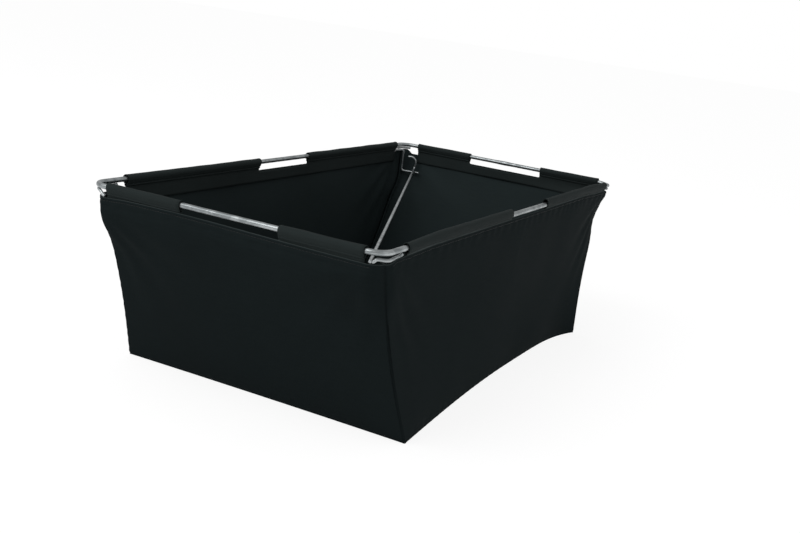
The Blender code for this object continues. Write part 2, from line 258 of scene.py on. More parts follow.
@dataclass(frozen=True)
class ZincPlatedDrawnSteel:
    """Low-carbon steel drawn through a die and zinc plated.

    Drawing leaves fine scratches along the rod, and the plating turns them into long pale and grey streaks
    with a satin gloss. Handling dulls it in soft clouds.

    Attributes:
        name: The material's name.
        bright: Colour of the fresh plating.
        dull: Colour of the clouded plating.
        roughness: Typical of satin plating, on the fresh and on the clouded places.
        streak_spacing: Between drawing streaks, in metres. Real ones are 0.1 mm: drawn coarser to show.
        streak_length: Length of a streak, in metres.
        streak_share: How much of the dulling the streaks make. The clouds make the rest.
        clouds_per_metre: How small the clouds are: 11 mm each.
        scratch_depth: Of the streaks, in metres.
    """

    name: str = "zinc_plated_drawn_steel"
    bright: str = "b4b9ba"
    dull: str = "757b7d"
    roughness: Point = (0.30, 0.46)
    streak_spacing: float = 0.6 * MM
    streak_length: float = 30 * MM
    streak_share: float = 0.45
    clouds_per_metre: float = 90.0
    scratch_depth: float = 0.05 * MM

    def build(self) -> bpy.types.Material:
        """Build the material, for pieces whose UV map runs along the wire and round it.

        Returns:
            The material.
        """
        nodes = NodeSet(bpy.data.materials.new(self.name))
        uv = nodes.add("UVMap", {"uv_map": SURFACE_UV})
        along = (1 / self.streak_length, 1 / self.streak_spacing, 1.0)
        stretched = nodes.add("Mapping", Vector=uv, Scale=along)
        streaks = nodes.add("TexNoise", Vector=stretched, Scale=1.0, Detail=3.0, Roughness=0.6)
        place = nodes.add("TexCoord", output="Object")
        clouds = nodes.add("TexNoise", Vector=place, Scale=self.clouds_per_metre, Detail=4.0, Roughness=0.55)
        in_streaks = nodes.add("MapRange", Value=streaks, From_Min=0.35, From_Max=0.65)
        in_clouds = nodes.add("MapRange", Value=clouds, From_Min=0.4, From_Max=0.62)
        by_streaks = nodes.add("Math", {"operation": "MULTIPLY"}, i0=in_streaks, i1=self.streak_share)
        dulled = nodes.add(
            "Math", {"operation": "MULTIPLY_ADD"}, i0=in_clouds, i1=1 - self.streak_share, i2=by_streaks
        )
        colour = nodes.add(
            "Mix", {"data_type": "RGBA"}, output=2, i0=dulled, i6=linear(self.bright), i7=linear(self.dull)
        )
        fresh, clouded = self.roughness
        roughness = nodes.add("MapRange", Value=dulled, To_Min=fresh, To_Max=clouded)
        bump = nodes.add("Bump", Strength=0.35, Distance=self.scratch_depth, Height=streaks)
        shader = nodes.add(
            "BsdfPrincipled", Base_Color=colour, Metallic=1.0, Roughness=roughness, Normal=bump
        )
        nodes.add("OutputMaterial", Surface=shader)
        return nodes.owner


@dataclass(frozen=True)
class CoatedOxfordCloth:
    """Plain-weave polyester of 600 denier, coated and spun-dyed black.

    The paired threads give a fine grid of squares, the black keeps a cool cast, and the coating lets only a
    broad dull gloss through. A painted highlight lifts the tone along given folds, and painted shade darkens
    the end seams.

    Attributes:
        name: The material's name.
        deep: Colour in the hollows of the weave.
        lifted: Colour on the crowns of the weave.
        roughness: Of the coated cloth, low and high.
        thread_spacing: Between threads. The real 0.6 mm is drawn coarser to show at this size.
        weave_depth: From the crowns to the hollows of the weave.
        clouds_per_metre: How broad the clouds in the coating are: 140 mm each.
        slubs_per_metre: How long and thick the thicker lengths of thread are: 25 mm and 1.1 mm.
        weave_share: How much of the lift in tone the weave makes.
        cloud_share: How much of it the clouds make.
        slub_share: How much of it the slubs make.
        specular: Specular level of the cloth.
        painted_highlight: Colour of the painted highlight along a fold, where it catches the light from
            above.
        painted_highlight_at: Heights on the cut cloth of the folds that get the painted highlight, in metres.
        painted_highlight_reach: How far the painted highlight reaches from such a fold.
        crease_shade: Colour of the painted shade in the crevice of a seam.
        crease_shade_at: From the middle of the cut cloth to the seams at its ends. 0 leaves the painted shade
            out.
        crease_shade_reach: How far the painted shade reaches from such a seam.
        crease_shade_full: The heights between which the painted shade is at its darkest.
        crease_shade_ends: The heights at which it is at its faintest, below and above.
        crease_shade_least: The share of the painted shade that is left there.
    """

    name: str = "coated_oxford_cloth"
    deep: str = "151b1c"
    lifted: str = "1f2627"
    roughness: Point = (0.78, 0.92)
    thread_spacing: float = 1.1 * MM
    weave_depth: float = 0.15 * MM
    clouds_per_metre: float = 7.0
    slubs_per_metre: Point = (40.0, 900.0)
    weave_share: float = 0.35
    cloud_share: float = 0.45
    slub_share: float = 0.2
    specular: float = 0.03
    painted_highlight: str = "3f4646"
    painted_highlight_at: tuple[float, ...] = ()
    painted_highlight_reach: float = 0.9 * MM
    crease_shade: str = "0b0f10"
    crease_shade_at: float = 0.0
    crease_shade_reach: float = 1.8 * MM
    crease_shade_full: Point = (120 * MM, 140 * MM)
    crease_shade_ends: Point = (10 * MM, 195 * MM)
    crease_shade_least: Point = (0.25, 0.2)

    def build(self) -> bpy.types.Material:
        """Build the material, for pieces whose UV map is the flat cloth in metres.

        Returns:
            The material.
        """
        nodes = NodeSet(bpy.data.materials.new(self.name))
        uv = nodes.add("UVMap", {"uv_map": SURFACE_UV})
        across, up = (nodes.add("SeparateXYZ", output=axis, i0=uv) for axis in (0, 1))
        waves = []
        per_metre = math.pi / self.thread_spacing
        for direction in (across, up):
            turns = nodes.add("Math", {"operation": "MULTIPLY"}, i0=direction, i1=per_metre)
            waves.append(nodes.add("Math", {"operation": "SINE"}, i0=turns))
        # Over and under: the product of the waves stands up where the weft crosses over, and sinks beside it.
        crossing = nodes.add("Math", {"operation": "MULTIPLY"}, i0=waves[0], i1=waves[1])
        weave = nodes.add("Math", {"operation": "MULTIPLY_ADD"}, i0=crossing, i1=0.5, i2=0.5)
        place = nodes.add("TexCoord", output="Object")
        clouds = nodes.add("TexNoise", Vector=place, Scale=self.clouds_per_metre, Detail=3.0, Roughness=0.5)
        in_clouds = nodes.add("MapRange", Value=clouds, From_Min=0.3, From_Max=0.7)
        stretched = nodes.add("Mapping", Vector=uv, Scale=(*self.slubs_per_metre, 1.0))
        slubs = nodes.add("TexNoise", Vector=stretched, Scale=1.0, Detail=2.0)
        in_slubs = nodes.add("MapRange", Value=slubs, From_Min=0.35, From_Max=0.7)
        lift: bpy.types.NodeSocket | float = 0.0
        shares = ((in_clouds, self.cloud_share), (weave, self.weave_share), (in_slubs, self.slub_share))
        for source, share in shares:
            lift = nodes.add("Math", {"operation": "MULTIPLY_ADD"}, i0=source, i1=share, i2=lift)
        colour = nodes.add(
            "Mix", {"data_type": "RGBA"}, output=2, i0=lift, i6=linear(self.deep), i7=linear(self.lifted)
        )
        # Painted highlight along the folds that catch the light from above.
        if self.painted_highlight_at:
            colour = self._painted_highlights(nodes, colour, up, clouds)
        # Painted shade in the crevice of each end seam.
        if self.crease_shade_at:
            colour = self._painted_crease_shade(nodes, colour, across, up)
        smooth, rough = self.roughness
        shader = nodes.add(
            "BsdfPrincipled",
            Base_Color=colour,
            Roughness=nodes.add("MapRange", Value=in_clouds, To_Min=smooth, To_Max=rough),
            Specular_IOR_Level=self.specular,
            Normal=nodes.add("Bump", Strength=0.5, Distance=self.weave_depth, Height=weave),
        )
        nodes.add("OutputMaterial", Surface=shader)
        return nodes.owner

    def _painted_highlights(
        self,
        nodes: NodeSet,
        colour: bpy.types.NodeSocket,
        up: bpy.types.NodeSocket,
        clouds: bpy.types.NodeSocket,
    ) -> bpy.types.NodeSocket:
        """Lay a painted highlight over the folds, in patches.

        Args:
            nodes: The material's nodes.
            colour: Of the cloth so far.
            up: Height on the cut cloth.
            clouds: The clouds in the coating.

        Returns:
            The cloth's colour.
        """
        patches = nodes.add("MapRange", Value=clouds, From_Min=0.35, From_Max=0.6, To_Min=0.45)
        tone = linear(self.painted_highlight)
        for height in self.painted_highlight_at:
            offset = nodes.add("Math", {"operation": "SUBTRACT"}, i0=up, i1=height)
            away = nodes.add("Math", {"operation": "ABSOLUTE"}, i0=offset)
            start, end = 0.3 * self.painted_highlight_reach, self.painted_highlight_reach
            near = nodes.add("MapRange", Value=away, From_Min=start, From_Max=end, To_Min=1.0, To_Max=0.0)
            highlight_share = nodes.add("Math", {"operation": "MULTIPLY"}, i0=near, i1=patches)
            colour = nodes.add("Mix", {"data_type": "RGBA"}, output=2, i0=highlight_share, i6=colour, i7=tone)
        return colour

    def _painted_crease_shade(
        self,
        nodes: NodeSet,
        colour: bpy.types.NodeSocket,
        across: bpy.types.NodeSocket,
        up: bpy.types.NodeSocket,
    ) -> bpy.types.NodeSocket:
        """Paint the shade of a seam's crevice as a dark line over the cloth's two ends.

        Args:
            nodes: The material's nodes.
            colour: Of the cloth so far.
            across: Place across the cut cloth, from its middle.
            up: Height on the cut cloth.

        Returns:
            The cloth's colour.
        """
        from_middle = nodes.add("Math", {"operation": "ABSOLUTE"}, i0=across)
        offset = nodes.add("Math", {"operation": "SUBTRACT"}, i0=from_middle, i1=self.crease_shade_at)
        away = nodes.add("Math", {"operation": "ABSOLUTE"}, i0=offset)
        start, end = 0.3 * self.crease_shade_reach, self.crease_shade_reach
        share = nodes.add("MapRange", Value=away, From_Min=start, From_Max=end, To_Min=1.0, To_Max=0.0)
        # The painted shade is darkest in the middle of a seam's height, where the seam gapes most and the
        # cloth bends least.
        for full, end, least in zip(self.crease_shade_full, self.crease_shade_ends, self.crease_shade_least):
            fading = nodes.add("MapRange", Value=up, From_Min=full, From_Max=end, To_Min=1.0, To_Max=least)
            share = nodes.add("Math", {"operation": "MULTIPLY"}, i0=share, i1=fading)
        return nodes.add("Mix", {"data_type": "RGBA"}, output=2, i0=share, i6=colour, i7=linear(self.crease_shade))


@dataclass(frozen=True)
class SewingThread:
    """Bonded polyester sewing thread, spun-dyed black, with a faint gloss from its bonding.

    Attributes:
        name: The material's name.
        colour: Of the thread.
        roughness: Of the bonded thread, low and high.
        fibres_per_metre: How fine its fibres are: 0.4 mm, drawn coarser than real ones to show at all.
    """

    name: str = "bonded_polyester_thread"
    colour: str = "191d1d"
    roughness: Point = (0.42, 0.62)
    fibres_per_metre: float = 2500.0

    def build(self) -> bpy.types.Material:
        """Build the material.

        Returns:
            The material.
        """
        nodes = NodeSet(bpy.data.materials.new(self.name))
        place = nodes.add("TexCoord", output="Object")
        fibres = nodes.add("TexNoise", Vector=place, Scale=self.fibres_per_metre, Detail=1.0)
        low, high = self.roughness
        roughness = nodes.add("MapRange", Value=fibres, From_Min=0.3, From_Max=0.7, To_Min=low, To_Max=high)
        shader = nodes.add(
            "BsdfPrincipled", Base_Color=linear(self.colour), Roughness=roughness, Specular_IOR_Level=0.4
        )
        nodes.add("OutputMaterial", Surface=shader)
        return nodes.owner


# Meshes


def linked(name: str, mesh: bpy.types.Mesh, material: bpy.types.Material) -> bpy.types.Object:
    """Put a mesh into the scene as a piece that rides on the part's one body.

    Args:
        name: The piece's name.
        mesh: Its mesh.
        material: Of its whole surface.

    Returns:
        The piece.
    """
    mesh.materials.append(material)
    piece = bpy.data.objects.new(name, mesh)
    bpy.context.scene.collection.objects.link(piece)
    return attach(piece, ROOT)


def circle(
    shape: bmesh.types.BMesh, centre: Vector, first: Vector, second: Vector, radius: float, sides: int
) -> list[bmesh.types.BMVert]:
    """Add a circle of vertices.

    Args:
        shape: The mesh that it is added to.
        centre: Its middle.
        first: One direction in its plane.
        second: The direction square to that.
        radius: Of the circle.
        sides: How many vertices it has.

    Returns:
        The vertices in order.
    """
    turns = (2 * math.pi * side / sides for side in range(sides))
    return [shape.verts.new(centre + (first * math.cos(t) + second * math.sin(t)) * radius) for t in turns]


@dataclass
class ClothGrid:
    """A sheet of cloth laid out as rows of points, which can hold a hole.

    Attributes:
        name: The piece's name.
        rows: Points row by row, each with its place on the flat cloth in metres. A None leaves a hole.
    """

    name: str
    rows: list[list[tuple[Vector, Point] | None]] = field(default_factory=list)

    def mesh(self) -> bpy.types.Mesh:
        """Join the points into quads.

        Returns:
            The mesh, with the flat cloth's measure as its UV map.
        """
        shape = bmesh.new()
        layer = shape.loops.layers.uv.new(SURFACE_UV)
        made = [[shape.verts.new(place[0]) if place else None for place in row] for row in self.rows]
        for r in range(len(self.rows) - 1):
            for c in range(len(self.rows[r]) - 1):
                corners = ((r, c), (r, c + 1), (r + 1, c + 1), (r + 1, c))
                verts = [made[i][j] for i, j in corners]
                if None in verts:
                    continue
                face = shape.faces.new(verts)
                face.smooth = True
                for loop, (i, j) in zip(face.loops, corners):
                    loop[layer].uv = self.rows[i][j][1]
        data = bpy.data.meshes.new(self.name)
        shape.to_mesh(data)
        shape.free()
        return data

    def cut(self) -> tuple[float, float, float]:
        """Measure the flat cloth on the cloth itself.

        Returns:
            Its width, height and area.
        """
        widest = max(self._length([place[0] for place in row]) for row in self.rows)
        middle = len(self.rows[0]) // 2
        tallest = max(self._length([row[c][0] for row in self.rows]) for c in (0, middle))
        data = self.mesh()
        area = sum(face.area for face in data.polygons)
        bpy.data.meshes.remove(data)
        return widest, tallest, area

    @staticmethod
    def _length(points: Sequence[Vector]) -> float:
        """Return the length of a path."""
        return sum((after - before).length for before, after in zip(points, points[1:]))

    def piece(
        self, material: bpy.types.Material, thickness: float, under: bpy.types.Material | None = None
    ) -> bpy.types.Object:
        """Return the sheet as a piece with its real thickness, half of it to each side.

        Args:
            material: Of the side that the rows' order makes the face.
            thickness: Of the cloth.
            under: Of the other side, if that differs.

        Returns:
            The piece.
        """
        made = linked(self.name, self.mesh(), material)
        solid = made.modifiers.new("thickness", "SOLIDIFY")
        solid.thickness = thickness
        solid.offset = 0
        if under:
            made.data.materials.append(under)
            solid.material_offset = 1
        return made


@dataclass
class Tube:
    """A round wire or rod along a path.

    Attributes:
        name: The piece's name.
        path: Points on the axis.
        radius: Of the wire.
        closed: Whether the path is a ring.
        swell: A function of the path's share that scales the radius.
        sides: Facets round the wire.
    """

    name: str
    path: Sequence[Vector]
    radius: float
    closed: bool = False
    swell: Callable[[float], float] | None = None
    sides: int = 20

    def _directions(self) -> list[Vector]:
        """Find the way that the wire runs at each point.

        Returns:
            Unit vectors, one a point.
        """
        count = len(self.path)
        found = []
        for index in range(count):
            before = self.path[index - 1] if index or self.closed else self.path[0]
            after = self.path[(index + 1) % count] if index + 1 < count or self.closed else self.path[-1]
            found.append((after - before).normalized())
        return found

    def mesh(self) -> bpy.types.Mesh:
        """Sweep the wire's circle along the path.

        Returns:
            The mesh, with a chamfered cut at each free end.
        """
        directions = self._directions()
        normal = directions[0].orthogonal().normalized()
        length = 0.0
        rings: list[Section] = []
        for index, point in enumerate(self.path):
            heading = directions[index]
            if index:
                length += (point - self.path[index - 1]).length
                normal = (directions[index - 1].rotation_difference(heading) @ normal).normalized()
            share = index / (len(self.path) - 1)
            size = self.radius * (self.swell(share) if self.swell else 1.0)
            rings.append((point, normal, heading.cross(normal), size, length))
        if not self.closed:
            rings = self._with_cut_ends(rings, directions)
        shape = bmesh.new()
        layer = shape.loops.layers.uv.new(SURFACE_UV)
        circles = [
            circle(shape, point, first, second, size, self.sides) for point, first, second, size, _ in rings
        ]
        pairs = len(rings) if self.closed else len(rings) - 1
        # A closed ring is joined last to first by the facet that turns the least.
        shift = self._closing_shift(rings) if self.closed else 0
        for index in range(pairs):
            is_last = index + 1 == len(rings)
            following = circles[0] if is_last else circles[index + 1]
            turn = shift if is_last else 0
            start, end = rings[index][4], rings[index][4] + self.radius if is_last else rings[index + 1][4]
            for side in range(self.sides):
                following_side = (side + 1) % self.sides
                quad = (
                    circles[index][side],
                    circles[index][following_side],
                    following[(following_side + turn) % self.sides],
                    following[(side + turn) % self.sides],
                )
                face = shape.faces.new(quad)
                face.smooth = True
                low, high = (2 * math.pi * self.radius * s / self.sides for s in (side, side + 1))
                for loop, uv in zip(face.loops, ((start, low), (start, high), (end, high), (end, low))):
                    loop[layer].uv = uv
        if not self.closed:
            shape.faces.new(list(reversed(circles[0])))
            shape.faces.new(circles[-1])
        bmesh.ops.recalc_face_normals(shape, faces=shape.faces)
        data = bpy.data.meshes.new(self.name)
        shape.to_mesh(data)
        shape.free()
        data.set_sharp_from_angle(angle=math.radians(38))
        return data

    def _with_cut_ends(self, rings: list[Section], directions: list[Vector]) -> list[Section]:
        """Add a circle just inside each end, so that the cut wire has a burnished edge.

        Args:
            rings: The circles along the wire.
            directions: The way that the wire runs at each.

        Returns:
            The circles with narrower ones at both ends.
        """
        chamfer = self.radius * 0.22
        (first, a, b, size, length), (last, c, d, end_size, end_length) = rings[0], rings[-1]
        inner_start = (first + directions[0] * chamfer, a, b, size, length + chamfer)
        inner_end = (last - directions[-1] * chamfer, c, d, end_size, end_length - chamfer)
        start = (first, a, b, size - chamfer, length)
        end = (last, c, d, end_size - chamfer, end_length)
        return [start, inner_start, *rings[1:-1], inner_end, end]

    def _closing_shift(self, rings: list[Section]) -> int:
        """Find how the last circle of a ring meets the first.

        Args:
            rings: The circles along the wire.

        Returns:
            How many facets the last circle is turned from the first.
        """
        _, first, second, _, _ = rings[0]
        _, last, _, _, _ = rings[-1]
        angle = math.atan2(last.dot(second), last.dot(first))
        return round(angle / (2 * math.pi) * self.sides)

    def piece(self, material: bpy.types.Material) -> bpy.types.Object:
        """Return the wire as a piece."""
        return linked(self.name, self.mesh(), material)


def rounded(points: Sequence[Vector], radii: Sequence[float], steps: int = 10) -> list[Vector]:
    """Return a path through the points with each inner corner rounded.

    Args:
        points: The path's ends and corners.
        radii: The bend radius at each inner corner.
        steps: Straight pieces in each bend.

    Returns:
        The path's points.
    """
    path = [points[0]]
    for index, radius in enumerate(radii, start=1):
        corner = points[index]
        towards = (points[index - 1] - corner).normalized()
        away = (points[index + 1] - corner).normalized()
        half = towards.angle(away) / 2
        reach = radius / math.tan(half)
        centre = corner + (towards + away).normalized() * (radius / math.sin(half))
        arm = corner + towards * reach - centre
        normal = arm.cross(corner + away * reach - centre).normalized()
        sweep = math.pi - 2 * half
        path += [centre + Matrix.Rotation(sweep * step / steps, 3, normal) @ arm for step in range(steps + 1)]
    return path + [points[-1]]


def even(points: Sequence[Vector], spacing: float) -> list[Vector]:
    """Put extra points on a path.

    Args:
        points: The path.
        spacing: The furthest that two points may be apart.

    Returns:
        The path with the extra points.
    """
    path = [points[0]]
    for start, end in zip(points, points[1:]):
        count = max(1, math.ceil((end - start).length / spacing))
        path += [start.lerp(end, step / count) for step in range(1, count + 1)]
    return path


# The wire work


@dataclass
class WireWork:
    """The steel ring, the thin wires under its bends, the catch and the diagonal brace.

    Attributes:
        ring: Where the ring lies.
        wire_radius: Half the thin wires' diameter.
        gap: Clearance between wires that touch.
        weld_swell: How much the butt weld adds to the rod's radius, as a share.
        weld_points: How far the swelling reaches, in points of the ring's path.
        near_arm: How far the corner wires reach along the long rods at the near and left corners.
        far_arm: The same at the far corner.
        right_arm: The same at the right corner.
        sweep: How far a corner wire runs round the bend.
        near_sweep: The same at the near corner.
        left_sweep: The same at the left corner.
        left_lean: How far the left wire's end leans down to the cloth.
        sag: How far the near wire sags off the bend.
        tip_dip: How far the near wire's end dips further, under the brace.
        brace_seat: Where on the near bend the brace ends.
        brace_drop: The brace's near end, below the rod's axis.
        catch_in_x: The catch's leg, inwards from the left rod.
        catch_in_y: The catch's leg, inwards from the rear rod.
        shoulder_depth: The top of the catch's leg, below the rod's axis.
        catch_depth: The catch's bar, below the rod's axis.
        shoulder_bend: Bend radius at the top of the leg.
        catch_bend: Bend radius between the leg and the bar.
        bar_length: Length of the catch's bar.
        bar_turn: How far the bar turns from the level of the rear rod, in degrees.
        rest_on_bar: Where on the bar the brace lies, from the leg.
        crook_height: Of the crook over the bar.
        crook_reach: How far the crook's rise leans along the bar.
        crook_return: Length of the crook's end.
        crook_droop: How far the crook's end droops.
        crook_foot_bend: Bend radius at the foot of the crook.
        crook_bend: Bend radius at its top.
    """

    ring: RingPlace
    wire_radius: float = 1.75 * MM
    gap: float = 0.3 * MM
    weld_swell: float = 0.13
    weld_points: float = 1.2
    near_arm: float = 40.0 * MM
    far_arm: float = 28.5 * MM
    right_arm: float = 19.0 * MM
    sweep: float = math.radians(77)
    near_sweep: float = math.radians(69.5)
    left_sweep: float = math.radians(94)
    left_lean: float = 5.4 * MM
    sag: float = 1.9 * MM
    tip_dip: float = 2.5 * MM
    brace_seat: float = math.radians(75)
    brace_drop: float = 9.2 * MM
    catch_in_x: float = 11.8 * MM
    catch_in_y: float = 20.5 * MM
    shoulder_depth: float = 7.0 * MM
    catch_depth: float = 41.2 * MM
    shoulder_bend: float = 3.0 * MM
    catch_bend: float = 4.5 * MM
    bar_length: float = 30.0 * MM
    bar_turn: float = 12.5
    rest_on_bar: float = 21.0 * MM
    crook_height: float = 21.2 * MM
    crook_reach: float = 4.3 * MM
    crook_return: float = 16.1 * MM
    crook_droop: float = 1.0 * MM
    crook_foot_bend: float = 5.0 * MM
    crook_bend: float = 9.0 * MM

    def build(self, steel: bpy.types.Material, bright: bpy.types.Material) -> list[bpy.types.Object]:
        """Make every steel piece.

        Args:
            steel: The plated rod's material.
            bright: The plated wire's material.

        Returns:
            The pieces.
        """
        pieces = [self._ring(steel)]
        for word, sign_x, sign_y, arm, sweep, drop in (
            ("near", 1, -1, self.near_arm, self.near_sweep, self._near_drop),
            ("left", -1, -1, self.near_arm, self.left_sweep, self._left_drop),
            ("right", 1, 1, self.right_arm, self.sweep, None),
            ("far", -1, 1, self.far_arm, self.sweep, None),
        ):
            path = self._corner_path(sign_x, sign_y, arm, sweep, drop)
            piece = Tube(f"thin_wire_{word}", even(path, 5 * MM), self.wire_radius).piece(bright)
            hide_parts(f"corner_wire_{word}")
            pieces.append(piece)
        return pieces + [self._catch(bright), self._brace(bright)]

    def _ring(self, steel: bpy.types.Material) -> bpy.types.Object:
        """Bend the rod round the box, with its butt weld in the middle of the rear rod.

        Args:
            steel: The plated rod's material.

        Returns:
            The ring.
        """
        steps = 14
        turns = [math.pi / 2 * step / steps for step in range(steps + 1)]
        start = Vector((0, self.ring.half_length, self.ring.height))
        path = [start]
        for sign_x, sign_y, backwards in ((-1, 1, True), (-1, -1, False), (1, -1, True), (1, 1, False)):
            order = reversed(turns) if backwards else turns
            path += [self.ring.bend(sign_x, sign_y, angle, 0) for angle in order]
        path.append(start)
        path = even(path, 6 * MM)[:-1]

        def swell(share: float) -> float:
            """The rod's thickness at a share of the ring, which begins at the weld."""
            away = min(share, 1 - share) * (len(path) - 1)
            return 1 + self.weld_swell * bell(away, 0.0, self.weld_points)

        tube = Tube("steel_ring", path, self.ring.rod_radius, closed=True, swell=swell, sides=28)
        piece = tube.piece(steel)
        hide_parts("frame_ring")
        return piece

    @property
    def below_rod(self) -> float:
        """How far a wire's axis is below the rod's where it touches the rod."""
        return self.ring.rod_radius + self.gap + self.wire_radius

    @property
    def wire_dip(self) -> float:
        """How far a wire lies below another wire that it touches."""
        return 2 * self.wire_radius + self.gap

    def _near_drop(self, angle: float) -> float:
        """Return how far the near wire hangs off the rod.

        Args:
            angle: Round the bend, from the long rod.

        Returns:
            The drop: a sag on the bend, and a dip under the brace.
        """
        turn = math.degrees(angle)
        sag = smooth_step((turn + 76) / 30) + 0.5 * bell(turn, 10, 24) - 0.2 * bell(turn, 49, 10)
        return self.sag * sag + self.tip_dip * smooth_step((turn - 55) / 11)

    def _left_drop(self, angle: float) -> float:
        """How far the left wire hangs off the rod: its end leans down to the cloth."""
        return self.left_lean * smooth_step((math.degrees(angle) - 50) / 45) ** 2

    def _corner_path(
        self, sign_x: int, sign_y: int, arm: float, sweep: float, drop: Callable[[float], float] | None
    ) -> list[Vector]:
        """Return a thin wire's path under one bend of the ring.

        Args:
            sign_x: -1 or 1, the corner's side along X.
            sign_y: -1 or 1, the corner's side along Y.
            arm: How far the wire reaches along the long rod, from the short rod's axis.
            sweep: The bend's angle at the wire's other end.
            drop: How far it hangs off the rod at an angle. None keeps it against the rod.

        Returns:
            Points on the wire's axis.
        """
        first = 1 - arm / self.ring.bend_radius
        steps = 44
        path = []
        for step in range(steps + 1):
            angle = blend(first, sweep, step / steps)
            hang = drop(angle) if drop else 0.0
            path.append(self.ring.bend(sign_x, sign_y, angle, -self.below_rod - hang))
        return path

    def _bar_direction(self) -> Vector:
        """The level direction of the catch's bar."""
        turn = math.radians(self.bar_turn)
        return Vector((math.cos(turn), math.sin(turn), 0))

    def _catch_foot(self) -> Vector:
        """The lower corner of the catch."""
        return self.ring.corner(-1, 1, self.catch_in_x, self.catch_in_y, -self.catch_depth)

    def _catch(self, steel: bpy.types.Material) -> bpy.types.Object:
        """Bend the catch: from under the far wire's end, down a leg, and along its bar.

        Args:
            steel: The plated wire's material.

        Returns:
            The catch.
        """
        tail = self.ring.corner(-1, 1, 0, self.far_arm, -self.below_rod - self.wire_dip)
        shoulder = self.ring.corner(-1, 1, self.catch_in_x, self.catch_in_y, -self.shoulder_depth)
        foot = self._catch_foot()
        end = foot + self._bar_direction() * self.bar_length
        path = rounded([tail, shoulder, foot, end], [self.shoulder_bend, self.catch_bend])
        piece = Tube("brace_catch", even(path, 5 * MM), self.wire_radius).piece(steel)
        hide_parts("catch_wire")
        return piece

    def _brace(self, steel: bpy.types.Material) -> bpy.types.Object:
        """Run the brace from under the near bend over the catch's bar to its crook.

        Args:
            steel: The plated wire's material.

        Returns:
            The brace.
        """
        near = self.ring.bend(1, -1, self.brace_seat, -self.brace_drop)
        rest = self._catch_foot() + self._bar_direction() * self.rest_on_bar + Z_AXIS * self.wire_dip
        run = (rest - near).normalized()
        start = near - run * self.wire_radius
        turn_up = rest + run * 2 * self.wire_radius
        top = turn_up + self._bar_direction() * self.crook_reach + Z_AXIS * self.crook_height
        tip = top - self._bar_direction() * self.crook_return - Z_AXIS * self.crook_droop
        path = rounded([start, turn_up, top, tip], [self.crook_foot_bend, self.crook_bend])
        piece = Tube("wire_brace", even(path, 12 * MM), self.wire_radius).piece(steel)
        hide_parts("diagonal_brace")
        return piece


# The cloth shell


